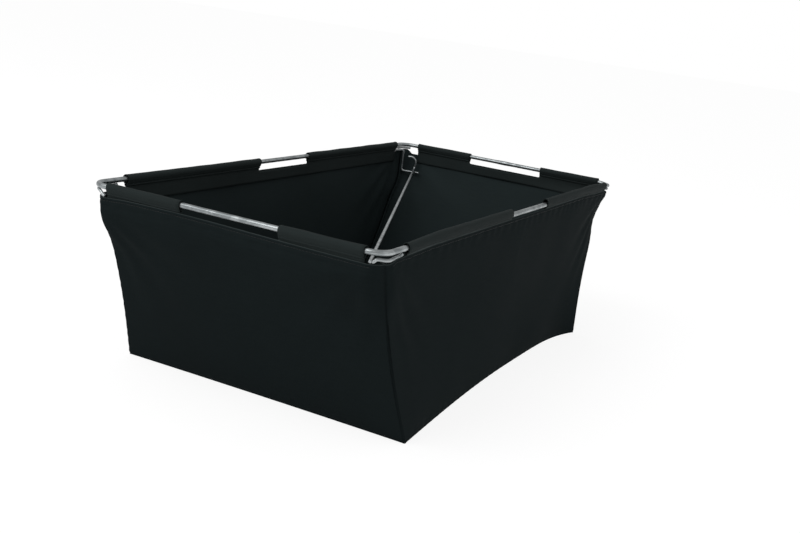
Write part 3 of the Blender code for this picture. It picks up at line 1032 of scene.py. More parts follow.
@dataclass(frozen=True)
class ShellShape:
    """The form that the sewn shell hangs in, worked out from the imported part.

    Attributes:
        ring: Where the ring lies.
        foot: Height of the walls' lower edge.
        top: Height of the walls' upper edge.
        base_half_width: From the middle to the base seam along X.
        base_half_length: From the middle to the base seam along Y.
        strip_reach: How far each side's sleeve strip runs from the middle, with a small margin.
        corner_inset_x: A seam's head, inwards from the long rod.
        corner_inset_y: A seam's head, inwards from the short rod.
        waist: How far the seams are drawn in between head and foot.
        rear_tuck: How far the rear seams are drawn in further, under the hem.
        rear_tuck_height: Where that is the most.
        rear_tuck_reach: How far up and down it reaches.
        long_bow: How far the base draws a long side in.
        long_bow_peak: Where that is the most, from -1 at the near corner to 1 at the far one.
        long_bow_rear_power: How fully the bow holds on towards the far corner.
        short_bow: How far the base draws a short side in.
        hem_offset: How far outside the rod's axis the hem hangs.
        hem_depth: The foot of the hem, below the rod's axis.
        turn: The heights between which a wall turns from its seam's line to the hem's plumb.
        far_right_turn: The same at the far right corner.
        front_crown: How far the front wall's upper edge rises.
        right_crown: The same for the right wall.
        right_slack: How far it rises further, between the ends of the sleeve.
        rear_sag: How far the rear wall's upper edge sags beside the far left seam.
        head_rise: How far that seam's head is drawn up to the wire over it.
        near_left_draw: How far the cloth at the near left corner is drawn in under the wire.
    """

    ring: RingPlace
    foot: float
    top: float
    base_half_width: float
    base_half_length: float
    strip_reach: dict[Side, float]
    corner_inset_x: float = 2.3 * MM
    corner_inset_y: float = 10.2 * MM
    waist: float = 6.0 * MM
    rear_tuck: float = 5.2 * MM
    rear_tuck_height: float = 165 * MM
    rear_tuck_reach: float = 24 * MM
    long_bow: float = 18.8 * MM
    long_bow_peak: float = 0.25
    long_bow_rear_power: float = 4.6
    short_bow: float = 1.5 * MM
    hem_offset: float = 1.85 * MM
    hem_depth: float = 28.0 * MM
    turn: Point = (0.132, 0.180)
    far_right_turn: Point = (0.186, 0.206)
    front_crown: float = 3.2 * MM
    right_crown: float = 4.3 * MM
    right_slack: float = 2.1 * MM
    rear_sag: float = 2.4 * MM
    head_rise: float = 4.5 * MM
    near_left_draw: float = 2.3 * MM

    @classmethod
    def from_frame(cls, ring: RingPlace) -> ShellShape:
        """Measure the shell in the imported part.

        Args:
            ring: Where the ring lies.

        Returns:
            The shell's form.
        """
        half_cloth = 0.75 * MM
        wall_low, wall_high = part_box("front_wall")
        _, base_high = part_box("base_panel")
        half_width, half_length = base_high.x - half_cloth, base_high.y - half_cloth
        reach = {}
        for side in Side:
            low, high = (corner.dot(side.along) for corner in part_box(f"{side.word}_sleeve_strip"))
            reach[side] = max(-low, high) + 1 * MM
        return cls(ring, wall_low.z, wall_high.z, half_width, half_length, reach)

    def corner_x(self, height: float, is_rear: bool) -> float:
        """Return a corner seam's distance from the middle along X.

        Args:
            height: Above the floor.
            is_rear: Whether the seam is one of the rear two, which are tucked in under the hem.

        Returns:
            The distance in metres.
        """
        share = height / self.top
        straight = blend(self.base_half_width, self.ring.half_width - self.corner_inset_x, share)
        tuck = self.rear_tuck * bell(height, self.rear_tuck_height, self.rear_tuck_reach) if is_rear else 0.0
        return straight - self.waist * math.sin(math.pi * share) - tuck

    def corner_y(self, height: float) -> float:
        """Return a corner seam's distance from the middle along Y at a height."""
        return blend(self.base_half_length, self.ring.half_length - self.corner_inset_y, height / self.top)

    def top_lift(self, side: Side, across: float) -> float:
        """Return how far a wall's upper edge strays from level, as hand-sewn cloth does.

        Args:
            side: Which wall.
            across: From -1 at one seam to 1 at the other.

        Returns:
            The rise in metres, less than 0 where the edge sags.
        """
        from_seam = (1 - abs(across)) * self.seam_along(side, self.top)
        crown = 0.0
        if side is Side.FRONT:
            crown = self.front_crown * bell(across, -0.35, 0.75) * smooth_step((1 - abs(across)) / 0.3)
        if side is Side.RIGHT:
            slack = self.right_slack * right_rise(across * self.seam_along(side, self.top))
            crown = self.right_crown * smooth_step((from_seam - 2 * MM) / (16 * MM)) + slack
        if side is Side.REAR and across < 0:
            start = smooth_step((from_seam - 9 * MM) / (4 * MM))
            crown = -self.rear_sag * start * smooth_step((40 * MM - from_seam) / (12 * MM))
        # The seam's head at the far left corner is drawn up to the wire over it.
        is_far_left = (side is Side.REAR and across < 0) or (side is Side.LEFT and across > 0)
        head = self.head_rise * smooth_step((13 * MM - from_seam) / (7 * MM)) if is_far_left else 0.0
        return crown + head

    def grip(self, side: Side, across: float, height: float) -> float:
        """Return how far a wall near its seam follows the strip over it.

        The hem hangs plumb with the strip's tail inside it, and the cloth under it soon goes its own way.
        At the far right corner it does so at once.

        Args:
            side: Which wall.
            across: From -1 at one seam to 1 at the other.
            height: Above the floor.

        Returns:
            From 0 for the seam's own line to 1 for the strip's.
        """
        is_far_right = side in (Side.REAR, Side.RIGHT) and across > 0
        low, high = self.far_right_turn if is_far_right else self.turn
        return smooth_step((height - low) / (high - low))

    def drawn_in(self, place: Vector) -> Vector:
        """Draw the cloth at the near left corner in under the wire.

        Args:
            place: A point of a wall.

        Returns:
            The point after that.
        """
        away = math.hypot(place.x + self.ring.half_width, place.y + self.ring.half_length)
        share = bell(away, 0.0, 45 * MM) * smooth_step((place.z - 0.176) / 0.026)
        return place + Vector((self.near_left_draw * share, 0.0, 0.0))

    def seam_along(self, side: Side, height: float) -> float:
        """Return half the length of a wall between its seams at a height."""
        return self.corner_y(height) if side.is_long else self.corner_x(height, side is Side.REAR)

    def long_bow_shape(self, rearwards: float) -> float:
        """Return how far the base draws a long side in.

        Args:
            rearwards: Place along the side, from -1 at the near corner to 1 at the far one.

        Returns:
            From 0 at the corners to 1 nearer the rear.
        """
        peak = self.long_bow_peak
        if rearwards < peak:
            return math.sin(math.pi / 2 * (rearwards + 1) / (peak + 1))
        return 1 - ((rearwards - peak) / (1 - peak)) ** self.long_bow_rear_power

    def wall_point(self, side: Side, across: float, height: float) -> Vector:
        """Return a point of a wall's middle surface, before folds.

        Args:
            side: Which wall.
            across: From -1 at one seam to 1 at the other, along the side's level direction.
            height: Above the floor.

        Returns:
            The point in the row frame.
        """
        hem_foot = self.ring.height - self.hem_depth
        lean = min(height / hem_foot, 1)
        if side.is_long:
            corner_out = self.corner_x(height, across > 0)
            at_base, rod = self.base_half_width - self.long_bow, self.ring.half_width
            base_shape = self.long_bow_shape(across)
        else:
            corner_out = self.corner_y(height)
            at_base, rod = self.base_half_length - self.short_bow, self.ring.half_length
            base_shape = 1 - across * across
        flat_share = self.strip_reach[side] / self.seam_along(side, hem_foot)
        beyond = max(0.0, (abs(across) - flat_share) / (1 - flat_share))
        middle = blend(at_base, rod + self.hem_offset, lean)
        held = blend(base_shape, 1 - beyond * beyond, self.grip(side, across, height))
        out = blend(corner_out, middle, held)
        place = side.facing * out + side.along * (across * self.seam_along(side, height)) + Z_AXIS * height
        return self.drawn_in(place)


@dataclass
class Wall:
    """One wall of the shell: its drape, its hem, and its sewn edges.

    Attributes:
        side: Which wall.
        shape: The form that it hangs in.
        thickness: Of the cloth.
        seam_groove: How deep the cloth dips into a seam.
        groove_width: How far from the seam that reaches.
        seam_apart: Between a wall's folded end and the seam.
        allowance: Width of the seam allowance inside.
        hem_line: Of the hem's stitching, below the upper edge.
        hem_fullness: How far the folded hem stands out.
        hem_dent: How far the stitching draws it in.
        edge_roll: How far the upper edge rolls in.
        base_tuck: How far the foot is drawn in at the base seam.
        broad_fold: Depth of the broad folds.
        ripple: Depth of the narrower, upright ones.
        corner_pull: Depth of the pulls that fan out from the upper corners.
        seam_pucker: Depth and spacing of the puckers beside an end seam.
        base_pucker: The same along the base seam.
        hem_pucker: The same under the hem.
        stitch_pitch: Between the starts of the hem's stitches.
        stitch_length: Of a stitch.
        stitch_margin: From an end seam to the first stitch.
    """

    side: Side
    shape: ShellShape
    thickness: float = 0.9 * MM
    seam_groove: float = 1.6 * MM
    groove_width: float = 1.3 * MM
    seam_apart: float = 0.55 * MM
    allowance: float = 6.0 * MM
    hem_line: float = 3.4 * MM
    hem_fullness: float = 0.45 * MM
    hem_dent: float = 0.55 * MM
    edge_roll: float = 0.5 * MM
    base_tuck: float = 1.4 * MM
    broad_fold: float = 2.6 * MM
    ripple: float = 1.4 * MM
    corner_pull: float = 1.1 * MM
    seam_pucker: Point = (0.28 * MM, 13 * MM)
    base_pucker: Point = (0.3 * MM, 17 * MM)
    hem_pucker: Point = (0.5 * MM, 21 * MM)
    stitch_pitch: float = 3.6 * MM
    stitch_length: float = 2.5 * MM
    stitch_margin: float = 8 * MM

    @property
    def seam_length(self) -> float:
        """Half the wall's length at its upper edge."""
        return self.shape.seam_along(self.side, self.shape.top)

    def _drape(self, across: float, height: float, place: Vector) -> float:
        """Return how far the folds push the cloth out at a point.

        Args:
            across: From -1 to 1 along the wall.
            height: Above the floor.
            place: The point before folds.

        Returns:
            The push along the wall's facing, in metres.
        """
        share = height / self.shape.top
        edge = 1 - abs(across)
        free = smooth_step(edge / 0.12) * smooth_step(share / 0.12) * smooth_step((1 - share) / 0.14)
        broad = noise.noise(place * 7.0 + Vector((3.1, 0.7, 5.3)))
        upright = Vector((place.x * 13.0, place.y * 13.0, place.z * 4.5))
        push = free * (self.broad_fold * broad + self.ripple * noise.noise(upright + Vector((1.3, 8.1, 2.9))))
        # Pulls run from the upper corners down into the wall, where the ring carries the cloth.
        below_top = self.shape.top - height
        for sign in (-1, 1):
            from_corner = (1 - sign * across) * self.seam_length
            reach = math.hypot(from_corner, below_top)
            angle = math.atan2(below_top, max(from_corner, 1e-6))
            pulls = math.cos((angle - 0.35) * 15.0) * bell(reach, 0.07, 0.06)
            push += free * self.corner_pull * pulls
        # Sewing draws the cloth up into small puckers beside each seam, and the puckers' spacing strays.
        along = place.dot(self.side.along)
        from_seam = edge * self.seam_length
        for share, (depth, spacing), run, stray in (
            (bell(from_seam, 0.0, 9 * MM), self.seam_pucker, place.z, 2 * noise.noise(place * 30)),
            (bell(height, self.shape.foot, 8 * MM), self.base_pucker, along, 2 * noise.noise(place * 22)),
            (bell(below_top, 7 * MM, 6 * MM), self.hem_pucker, along, 4 * noise.noise(place * 22)),
        ):
            push += depth * share * math.sin(run * 2 * math.pi / spacing + stray)
        return push

    def _hem(self, below_top: float) -> float:
        """Return how far the folded hem stands out.

        Args:
            below_top: Depth below the wall's upper edge.

        Returns:
            The push along the wall's facing, in metres.
        """
        dent = self.hem_dent * bell(below_top, self.hem_line, 0.7 * MM)
        fold = self.hem_fullness * smooth_step((9 * MM - below_top) / (2 * MM))
        return fold - dent - self.edge_roll * bell(below_top, 0.0, 0.6 * MM)

    def surface(self, across: float, height: float) -> Vector:
        """Return a point of the draped wall's middle surface.

        Args:
            across: From -1 to 1 along the wall.
            height: Above the floor.

        Returns:
            The point in the row frame.
        """
        place = self.shape.wall_point(self.side, across, height)
        edge = (1 - abs(across)) * self.seam_length
        groove = self.seam_groove * bell(edge, 0.0, self.groove_width)
        tuck = self.base_tuck * bell(height, self.shape.foot, 1.5 * MM)
        push = self._drape(across, height, place) + self._hem(self.shape.top - height) - groove - tuck
        return place + self.side.facing * push

    def raised(self, across: float, height: float) -> Vector:
        """Return a point of the draped wall, with its upper edge straying from level."""
        share = smooth_step((height - self.shape.top + 40 * MM) / (40 * MM))
        return self.surface(across, height) + Z_AXIS * (self.shape.top_lift(self.side, across) * share)

    def _columns(self) -> list[float]:
        """List the grid's places across the wall, closer together at the seams.

        Returns:
            Shares from -1 to 1.
        """
        near_seam = [d * MM / self.seam_length for d in (0.0, 0.7, 1.4, 2.1, 3.0, 4.5, 7.0, 10.0, 14.0, 19.0)]
        inner = 1 - near_seam[-1]
        count = round(2 * inner * self.seam_length / (5 * MM))
        middle = [blend(-inner, inner, step / count) for step in range(1, count)]
        return [d - 1 for d in near_seam] + middle + [1 - d for d in reversed(near_seam)]

    def _heights(self) -> list[float]:
        """List the grid's heights, closer together at the foot and the hem.

        Returns:
            Heights above the floor.
        """
        foot, top = self.shape.foot, self.shape.top
        # The first row is the allowance that is sewn to the base.
        low = [0.5 * MM] + [foot + d * MM for d in (0.0, 0.8, 1.6, 2.6, 4.0, 6.0, 8.5, 12.0)]
        below_top = (12.0, 10.0, 9.0, 8.0, 7.0, 6.0, 5.0, 4.3, 3.9, 3.4, 2.9, 2.4, 1.6, 0.8, 0.3, 0.0)
        high = [top - d * MM for d in below_top]
        count = round((high[0] - low[-1]) / (5 * MM))
        middle = [blend(low[-1], high[0], step / count) for step in range(1, count)]
        return low + middle + high

    def build(
        self, cloth: bpy.types.Material, lining: bpy.types.Material, thread: bpy.types.Material
    ) -> list[bpy.types.Object]:
        """Make the wall, with the seam allowances turned inwards at its two ends, and its hem's stitches.

        Args:
            cloth: Of the outer side.
            lining: Of the inner side.
            thread: Of the stitches.

        Returns:
            The wall and its stitches.
        """
        grid = ClothGrid(f"{self.side.word}_cloth")
        columns = self._columns()
        for height in self._heights():
            row: list[tuple[Vector, Point] | None] = []
            for across in columns:
                row.append((self.raised(across, height), (across * self.seam_length, height)))
            for sign in (-1, 1):
                edge = self.raised(float(sign), height)
                inwards = (-self.side.facing - self.side.along * sign).normalized()
                apart = (self.side.facing - self.side.along * sign).normalized() * self.seam_apart
                folded = [
                    (edge + inwards * d + apart, (sign * (self.seam_length + d), height))
                    for d in (1.2 * MM, self.allowance * 0.6, self.allowance)
                ]
                if sign < 0:
                    row = list(reversed(folded)) + row
                else:
                    row = row + folded
            grid.rows.append(row)
        is_face_outside = self.side in (Side.FRONT, Side.RIGHT)
        face, under = (cloth, lining) if is_face_outside else (lining, cloth)
        made = grid.piece(face, self.thickness, under)
        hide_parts(f"{self.side.word}_wall")
        width, height, area = grid.cut()
        stitches = Stitching().build(f"{self.side.word}_hem_stitches", self.hem_stitches(), thread)
        return [made, stitches]

    def hem_stitches(self) -> Iterable[tuple[Vector, Vector]]:
        """List the stitches along the hem, on the cloth's outer face.

        Yields:
            The two ends of each stitch.
        """
        height = self.shape.top - self.hem_line
        half = self.seam_length - self.stitch_margin
        count = int(2 * half / self.stitch_pitch)
        outwards = self.side.facing * (self.thickness / 2 + 0.1 * MM)
        for index in range(count):
            start = -half + index * self.stitch_pitch
            first, last = ((start + d) / self.seam_length for d in (0.0, self.stitch_length))
            yield self.raised(first, height) + outwards, self.raised(last, height) + outwards


@dataclass
class Stitching:
    """Rows of thread, each stitch a small capsule.

    Attributes:
        thread_radius: Half the thread's diameter.
        sides: Facets round the thread.
    """

    thread_radius: float = 0.28 * MM
    sides: int = 6

    def build(
        self, name: str, stitches: Iterable[tuple[Vector, Vector]], thread: bpy.types.Material
    ) -> bpy.types.Object:
        """Make a row of stitches as one piece.

        Args:
            name: The piece's name.
            stitches: The two ends of each stitch.
            thread: The thread's material.

        Returns:
            The piece.
        """
        shape = bmesh.new()
        for start, end in stitches:
            self._stitch(shape, start, end)
        data = bpy.data.meshes.new(name)
        shape.to_mesh(data)
        shape.free()
        return linked(name, data, thread)

    def _stitch(self, shape: bmesh.types.BMesh, start: Vector, end: Vector) -> None:
        """Add one stitch: a tube with pinched ends.

        Args:
            shape: The mesh that it is added to.
            start: Where the thread comes out of the cloth.
            end: Where it goes back in.
        """
        run = (end - start).normalized()
        first = run.orthogonal().normalized()
        second = run.cross(first)
        circles = []
        for share, size in ((0.0, 0.35), (0.12, 0.9), (0.5, 1.1), (0.88, 0.9), (1.0, 0.35)):
            centre, radius = start.lerp(end, share), self.thread_radius * size
            circles.append(circle(shape, centre, first, second, radius, self.sides))
        for lower, upper in zip(circles, circles[1:]):
            for side in range(self.sides):
                following = (side + 1) % self.sides
                face = shape.faces.new((lower[side], lower[following], upper[following], upper[side]))
                face.smooth = True
        shape.faces.new(list(reversed(circles[0])))
        shape.faces.new(circles[-1])


@dataclass
class SleeveStrip:
    """A strip of cloth folded over the rod, with a hand slot cut out of the fold.

    Attributes:
        side: Which rod it hangs on.
        ring: Where the ring lies.
        shape: The form of the walls that the tails are sewn to.
        start: One end, along the rod's world axis.
        end: The other end.
        slot_centre: The middle of the hand slot.
        slot_length: Of the hand slot.
        slot_drop: The slot's lower edge, below the rod's axis.
        slot_corner: Radius of its corners.
        tail_drop: The tails' ends, below the rod's axis.
        stitch_drop: The row of stitches, below the rod's axis.
        lip: The fold under the stitches, in mm as (outwards, above the stitches).
        tail_points: How many points of the section come before the lip.
        lip_crown: Which point of the lip stands out furthest.
        cloth: Thickness of the cloth.
        fold_radius: Of the fold over the rod.
        lift: How far the fold stands off the top of the rod.
        unevenness: How far the slack cloth wanders off its fold.
        twist: How far it leans in or out along the rod.
        end_flare: How far its ends open.
        stitch_rise: How far the right strip's stitches rise between its ends.
        right_slack: How far the right strip's fold stands further off the rod.
    """

    side: Side
    ring: RingPlace
    shape: ShellShape
    start: float
    end: float
    slot_centre: float
    slot_length: float = 122.0 * MM
    slot_drop: float = 13.0 * MM
    slot_corner: float = 4.0 * MM
    tail_drop: float = 27.0 * MM
    stitch_drop: float = 7.0 * MM
    lip: tuple[Point, ...] = (
        (0.0, -3.4), (0.1, -1.5), (0.75, -0.75), (1.5, -0.35), (1.65, 0.0), (1.35, 0.35), (1.0, 0.8)
    )
    tail_points: int = 7
    lip_crown: int = 4
    cloth: float = 0.8 * MM
    fold_radius: float = 4.1 * MM
    lift: float = 0.4 * MM
    unevenness: float = 0.55 * MM
    twist: float = 0.5 * MM
    end_flare: float = 0.35 * MM
    stitch_rise: float = 2.0 * MM
    right_slack: float = 2.4 * MM

    @classmethod
    def from_frame(cls, side: Side, ring: RingPlace, shape: ShellShape) -> SleeveStrip:
        """Measure a strip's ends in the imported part.

        Args:
            side: Which rod it hangs on.
            ring: Where the ring lies.
            shape: The form of the walls.

        Returns:
            The strip, with its hand slot a little off the rod's middle.
        """
        low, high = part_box(f"{side.word}_sleeve_strip")
        slot_centre = {Side.FRONT: 2.3, Side.REAR: 4.8, Side.LEFT: 6.5, Side.RIGHT: 15.5}[side] * MM
        return cls(side, ring, shape, low.dot(side.along), high.dot(side.along), slot_centre)

    def _fold(self) -> list[Point]:
        """Draw the strip's section, from the outer tail over the rod to the inner one.

        Returns:
            Points as (outwards, above the rod's axis).
        """
        half_gap = self.cloth / 2 + 0.02 * MM
        length = self.tail_drop - self.slot_drop
        last = self.tail_points - 1
        tail = [(half_gap, -self.tail_drop + length * s / last) for s in range(self.tail_points)]
        # The row of stitches draws the cloth in, and the fold under it rolls out into a narrow lip.
        tail += [(half_gap + outwards * MM, above * MM - self.stitch_drop) for outwards, above in self.lip]
        open_angle = math.radians(32)
        steps = 22
        arc = []
        for step in range(steps + 1):
            angle = -open_angle + (math.pi + 2 * open_angle) * step / steps
            above = self.fold_radius * math.sin(angle)
            arc.append((self.fold_radius * math.cos(angle), above + self.lift * max(0.0, math.sin(angle))))
        (tail_out, tail_above), (arc_out, arc_above) = tail[-1], arc[0]
        flank = []
        for share in (0.25, 0.5, 0.75):
            bulge = 0.35 * MM * math.sin(math.pi * share)
            flank.append((blend(tail_out, arc_out, share) + bulge, blend(tail_above, arc_above, share)))
        outer = tail + flank
        return outer + arc + [(-o, z) for o, z in reversed(outer)]

    def _walked(self) -> list[float]:
        """Measure the section.

        Returns:
            The length along the fold at each of its points.
        """
        section = self._fold()
        walked = [0.0]
        for (o1, z1), (o2, z2) in zip(section, section[1:]):
            walked.append(walked[-1] + math.hypot(o2 - o1, z2 - z1))
        return walked

    def lips(self) -> tuple[float, float]:
        """Find the two lips under the rows of stitches.

        Returns:
            Their places along the fold.
        """
        walked = self._walked()
        lip = walked[self.tail_points + self.lip_crown]
        return lip, walked[-1] - lip

    def _slot_half(self, above: float) -> float:
        """Return half the slot's length, with its lower corners rounded.

        Args:
            above: Height over the rod's axis.

        Returns:
            The half length there.
        """
        inside = above + self.slot_drop
        if inside >= self.slot_corner:
            return self.slot_length / 2
        inside = max(inside, 0.0)
        drawn_in = self.slot_corner - math.sqrt(self.slot_corner**2 - (self.slot_corner - inside) ** 2)
        return self.slot_length / 2 - drawn_in

    def _place(self, at: float, outwards: float, above: float) -> Vector:
        """Return a point of the strip, with the cloth's small unevenness.

        Args:
            at: Place along the rod.
            outwards: From the rod's axis, in the section.
            above: Above the rod's axis, in the section.

        Returns:
            The point in the row frame.
        """
        rod = self.ring.half_width if self.side.is_long else self.ring.half_length
        side_seed = sum(self.side.value)
        slack = smooth_step((above + self.stitch_drop) / (8 * MM))
        seed = Vector((at * 28, outwards * 60 + above * 40, side_seed))
        wave = noise.noise(seed) * self.unevenness * slack
        twist = noise.noise(Vector((at * 9, 5.0, side_seed))) * self.twist * slack
        if self.side is Side.RIGHT:
            over_slot_edge = smooth_step((above + self.slot_drop) / (5 * MM))
            near_stitches = smooth_step((-above - 1 * MM) / (4 * MM)) * over_slot_edge
            above += self.stitch_rise * right_rise(at) * near_stitches
            # The cloth lies slack over the right rod.
            puff = smooth_step((at + 0.315) / 0.06) * smooth_step((0.335 - at) / 0.06)
            above += self.right_slack * puff * smooth_step((above + 1 * MM) / (4 * MM))
        from_end = min(at - self.start, self.end - at)
        flare = self.end_flare * slack * bell(from_end, 0.0, 4 * MM)
        radial = Vector((outwards, above)).normalized() if slack else Vector((0, 0))
        outwards += (wave + flare) * radial.x + twist
        above += (wave + flare) * radial.y
        outwards += self._wall_drift(at, self.ring.height + above)
        place = self.side.facing * (rod + outwards) + self.side.along * at
        return place + Z_AXIS * (self.ring.height + above)

    def _wall_drift(self, at: float, height: float) -> float:
        """Return how far the wall under the hem takes the strip's tail off the plumb.

        Args:
            at: Place along the rod.
            height: Above the floor.

        Returns:
            The push outwards in metres, 0 or less.
        """
        across = at / self.shape.seam_along(self.side, height)
        is_under_hem = height < self.ring.height - self.shape.hem_depth
        if is_under_hem or abs(across) > 1:
            return 0.0
        rod = self.ring.half_width if self.side.is_long else self.ring.half_length
        wall_out = self.shape.wall_point(self.side, across, height).dot(self.side.facing)
        off_plumb = min(0.0, wall_out - rod - self.shape.hem_offset)
        return off_plumb * smooth_step((self.ring.height - height) / (8 * MM))

    def build(self, cloth: bpy.types.Material) -> bpy.types.Object:
        """Make the strip.

        Args:
            cloth: The strip's material.

        Returns:
            The piece.
        """
        section = self._fold()
        walked = self._walked()
        spacing = 5 * MM
        slot_start, slot_end = (self.slot_centre + sign * self.slot_length / 2 for sign in (-1, 1))
        lengths = (slot_start - self.start, slot_end - slot_start, self.end - slot_end)
        counts = [round(length / spacing) for length in lengths]
        grid = ClothGrid(f"{self.side.word}_rod_sleeve")
        for (outwards, above), along_fold in zip(section, walked):
            half = self._slot_half(above)
            row: list[tuple[Vector, Point] | None] = []
            first, last = self.slot_centre - half, self.slot_centre + half
            spans = ((self.start, first), (first, last), (last, self.end))
            for which, ((low, high), count) in enumerate(zip(spans, counts)):
                for step in range(count + 1 if which == 2 else count):
                    at = blend(low, high, step / count)
                    is_hole = which == 1 and step > 0 and above > -self.slot_drop + 0.01 * MM
                    place = None if is_hole else (self._place(at, outwards, above), (at, along_fold))
                    row.append(place)
            grid.rows.append(row)
        made = grid.piece(cloth, self.cloth)
        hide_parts(f"{self.side.word}_sleeve_strip")
        self._area(walked[-1])
        return made

    def _area(self, cut_width: float) -> float:
        """The strip's flat area: its cut less the hand slot."""
        fold_over_slot = cut_width - 2 * (self.tail_drop - self.slot_drop)
        return cut_width * (self.end - self.start) - fold_over_slot * self.slot_length


@dataclass
class BasePanel:
    """The cloth floor of the box.

    Attributes:
        shape: The form of the walls that it is sewn to.
        thickness: Of the cloth.
        margin: From the base seam to the panel's edge.
        wave: Height of its soft waves.
        count: Squares of the grid each way.
    """

    shape: ShellShape
    thickness: float = 0.9 * MM
    margin: float = 0.8 * MM
    wave: float = 1.6 * MM
    count: int = 60

    def build(self, cloth: bpy.types.Material) -> bpy.types.Object:
        """Make the base: flat on the floor, with soft waves where nothing weighs it down.

        Args:
            cloth: The base's material.

        Returns:
            The piece.
        """
        shape = self.shape
        grid = ClothGrid("base_cloth")
        for j in range(self.count + 1):
            v = 2 * j / self.count - 1
            row: list[tuple[Vector, Point] | None] = []
            for i in range(self.count + 1):
                u = 2 * i / self.count - 1
                x = u * (shape.base_half_width - shape.long_bow * shape.long_bow_shape(v)) - u * self.margin
                y = v * (shape.base_half_length - shape.short_bow * (1 - u * u)) - v * self.margin
                free = smooth_step((1 - abs(u)) / 0.2) * smooth_step((1 - abs(v)) / 0.15)
                wave = 0.5 + 0.5 * noise.noise(Vector((x * 9, y * 7, 0.4)))
                z = self.thickness / 2 + free * self.wave * wave
                row.append((Vector((x, y, z)), (x, y)))
            grid.rows.append(row)
        made = grid.piece(cloth, self.thickness)
        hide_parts("base_panel")
        width, length, area = grid.cut()
        return made


# The studio


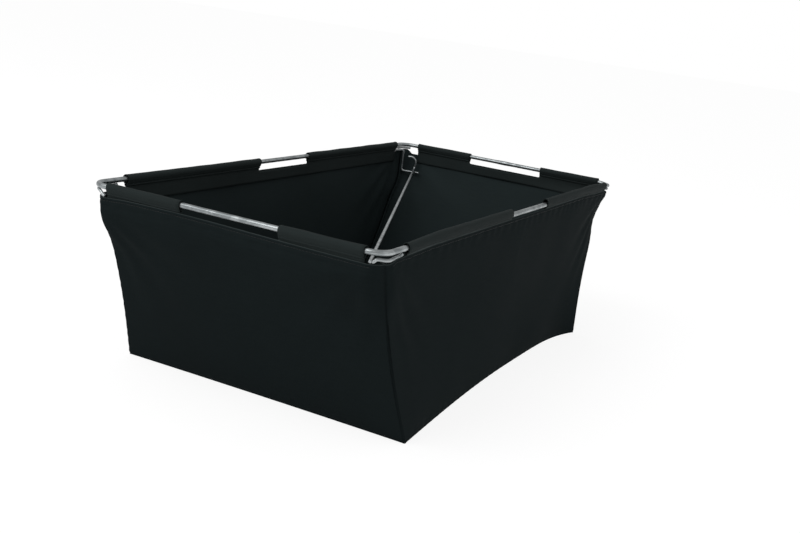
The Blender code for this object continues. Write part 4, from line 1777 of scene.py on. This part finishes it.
@dataclass
class Studio:
    """The camera of the photograph, a pale floor, and soft plain light.

    Attributes:
        camera_place: Where the camera stands.
        azimuth: Of the camera round the box, in degrees, 0 from -Y and rising towards +X.
        elevation: Of the camera above the level, in degrees.
        roll: How far the camera leans clockwise, in degrees.
        lens: Focal length for a sensor 36 mm wide, in millimetres.
        world_level: Strength of the light from all round.
        floor_size: From the floor's middle to its edges.
        floor_colour: Of the floor as it lights the object.
        floor_seen_colour: Of the floor as it takes the object's shadow.
        floor_glow: How much white is added to what is seen of the floor.
    """

    camera_place: tuple[float, float, float] = (0.6204, -1.2453, 0.4517)
    azimuth: float = 25.71
    elevation: float = 13.85
    roll: float = 7.47
    lens: float = 48.35
    world_level: float = 0.56
    floor_size: float = 12.0
    floor_colour: str = "e6e6e6"
    floor_seen_colour: str = "8a8a8a"
    floor_glow: float = 0.84

    def build(self) -> None:
        """Make the camera, the floor, the world and the lamps."""
        self._camera()
        self._floor()
        self._world()
        self._lamps()
        bpy.context.scene.view_settings.view_transform = "Standard"

    def _camera(self) -> None:
        """Stand the camera where the photograph's was."""
        data = bpy.data.cameras.new("camera")
        data.sensor_width = 36.0
        data.lens = self.lens
        data.clip_start = 0.05
        data.clip_end = 50.0
        camera = bpy.data.objects.new("camera", data)
        bpy.context.scene.collection.objects.link(camera)
        turn, lift, lean = (math.radians(x) for x in (self.azimuth, self.elevation, self.roll))
        back = Vector((math.sin(turn) * math.cos(lift), -math.cos(turn) * math.cos(lift), math.sin(lift)))
        right = Vector((math.cos(turn), math.sin(turn), 0.0))
        up = back.cross(right)
        leaning_right = right * math.cos(lean) + up * math.sin(lean)
        leaning_up = up * math.cos(lean) - right * math.sin(lean)
        turned = Matrix((leaning_right, leaning_up, back)).transposed()
        camera.matrix_world = Matrix.Translation(self.camera_place) @ turned.to_4x4()
        bpy.context.scene.camera = camera

    def _floor(self) -> None:
        """Lay a pale floor that keeps the object's shadow and goes to white where nothing shades it."""
        mesh = bpy.data.meshes.new("floor")
        shape = bmesh.new()
        bmesh.ops.create_grid(shape, x_segments=1, y_segments=1, size=self.floor_size)
        shape.to_mesh(mesh)
        shape.free()
        nodes = NodeSet(bpy.data.materials.new("floor_paper"))
        # What is seen, directly or in metal, is paler than the paper that lights the object.
        seen = nodes.add("LightPath", output="Is Camera Ray")
        rays = seen.node.outputs
        for ray in ("Is Glossy Ray", "Is Transmission Ray"):
            seen = nodes.add("Math", {"operation": "MAXIMUM"}, i0=seen, i1=rays[ray])
        paper = nodes.add(
            "Mix",
            {"data_type": "RGBA"},
            output=2,
            i0=seen,
            i6=linear(self.floor_colour),
            i7=linear(self.floor_seen_colour),
        )
        matt = nodes.add("BsdfDiffuse", Color=paper)
        level = nodes.add("Math", {"operation": "MULTIPLY"}, i0=seen, i1=self.floor_glow)
        glow = nodes.add("Emission", Strength=level)
        both = nodes.add("AddShader", i0=matt, i1=glow)
        nodes.add("OutputMaterial", Surface=both)
        mesh.materials.append(nodes.owner)
        floor = bpy.data.objects.new("floor", mesh)
        bpy.context.scene.collection.objects.link(floor)

    def _world(self) -> None:
        """Light the object evenly from all round, with white behind it."""
        nodes = NodeSet(bpy.data.worlds.new("studio"))
        camera_ray = nodes.add("LightPath", output="Is Camera Ray")
        through = camera_ray.node.outputs["Is Transmission Ray"]
        seen = nodes.add("Math", {"operation": "MAXIMUM"}, i0=camera_ray, i1=through)
        level = nodes.add("MapRange", Value=seen, To_Min=self.world_level, To_Max=1.0)
        light = nodes.add("Background", Strength=level, Color=(1.0, 1.0, 1.0, 1.0))
        nodes.add("OutputWorld", Surface=light)
        bpy.context.scene.world = nodes.owner

    def _lamps(self) -> None:
        """Hang a broad key lamp over the near left, and a weaker one to the right."""
        self._lamp("key", Vector((-1.1, -2.0, 2.4)), 2.2, 36.0)
        self._lamp("fill", Vector((2.6, -0.6, 1.5)), 1.8, 2.5)

    def _lamp(self, name: str, place: Vector, size: float, power: float) -> None:
        """Hang one square area lamp that looks at the middle of the box.

        Args:
            name: The lamp's name.
            place: Where it hangs.
            size: Of its side.
            power: In watts.
        """
        data = bpy.data.lights.new(name, "AREA")
        data.size = size
        data.energy = power
        lamp = bpy.data.objects.new(name, data)
        lamp.location = place
        lamp.rotation_mode = "QUATERNION"
        lamp.rotation_quaternion = (Vector((0, 0, 0.1)) - place).to_track_quat("-Z", "Y")
        bpy.context.scene.collection.objects.link(lamp)


def report(pieces: Iterable[bpy.types.Object]) -> None:
    """Log each piece with the number of its faces."""
    for piece in pieces:
        LOG.info("%s: %d faces", piece.name, len(piece.data.polygons))


def main() -> None:
    """Load the part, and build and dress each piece."""
    logging.basicConfig(level=logging.INFO, format="%(message)s")
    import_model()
    ring = RingPlace.from_frame()
    shape = ShellShape.from_frame(ring)
    sleeves = [SleeveStrip.from_frame(side, ring, shape) for side in Side]
    Studio().build()

    steel = ZincPlatedDrawnSteel().build()
    bright = ZincPlatedDrawnSteel("zinc_plated_drawn_wire", bright="bcc1c2", dull="84898b").build()
    # The walls' cloth gets a painted highlight along its upper edge and painted shade in its end seams.
    cloths = {
        is_long: CoatedOxfordCloth(
            f"coated_oxford_cloth_{'long' if is_long else 'short'}_walls",
            painted_highlight_at=(shape.top,),
            crease_shade_at=shape.seam_along(Side.LEFT if is_long else Side.FRONT, shape.top),
        ).build()
        for is_long in (False, True)
    }
    # The inner side has the thicker coating, with a little more gloss.
    lining = CoatedOxfordCloth(
        "coated_oxford_cloth_inner_side", deep="1e2627", lifted="293233", specular=0.1
    ).build()
    tape = CoatedOxfordCloth("coated_oxford_tape", deep="1e2424", lifted="2d3434", specular=0.1)
    # The right sleeve's tape gets a painted highlight along the lips under its stitches.
    highlighted_tape = replace(
        tape, name="highlighted_oxford_tape", painted_highlight="4b5252", painted_highlight_at=sleeves[0].lips(), painted_highlight_reach=1.6 * MM
    ).build()
    plain_tape = tape.build()
    thread = SewingThread().build()

    report(WireWork(ring).build(steel, bright))
    for side in Side:
        report(Wall(side, shape).build(cloths[side.is_long], lining, thread))
    for sleeve in sleeves:
        report([sleeve.build(highlighted_tape if sleeve.side is Side.RIGHT else plain_tape)])
    report([BasePanel(shape).build(lining)])


if __name__ == "__main__":
    main()
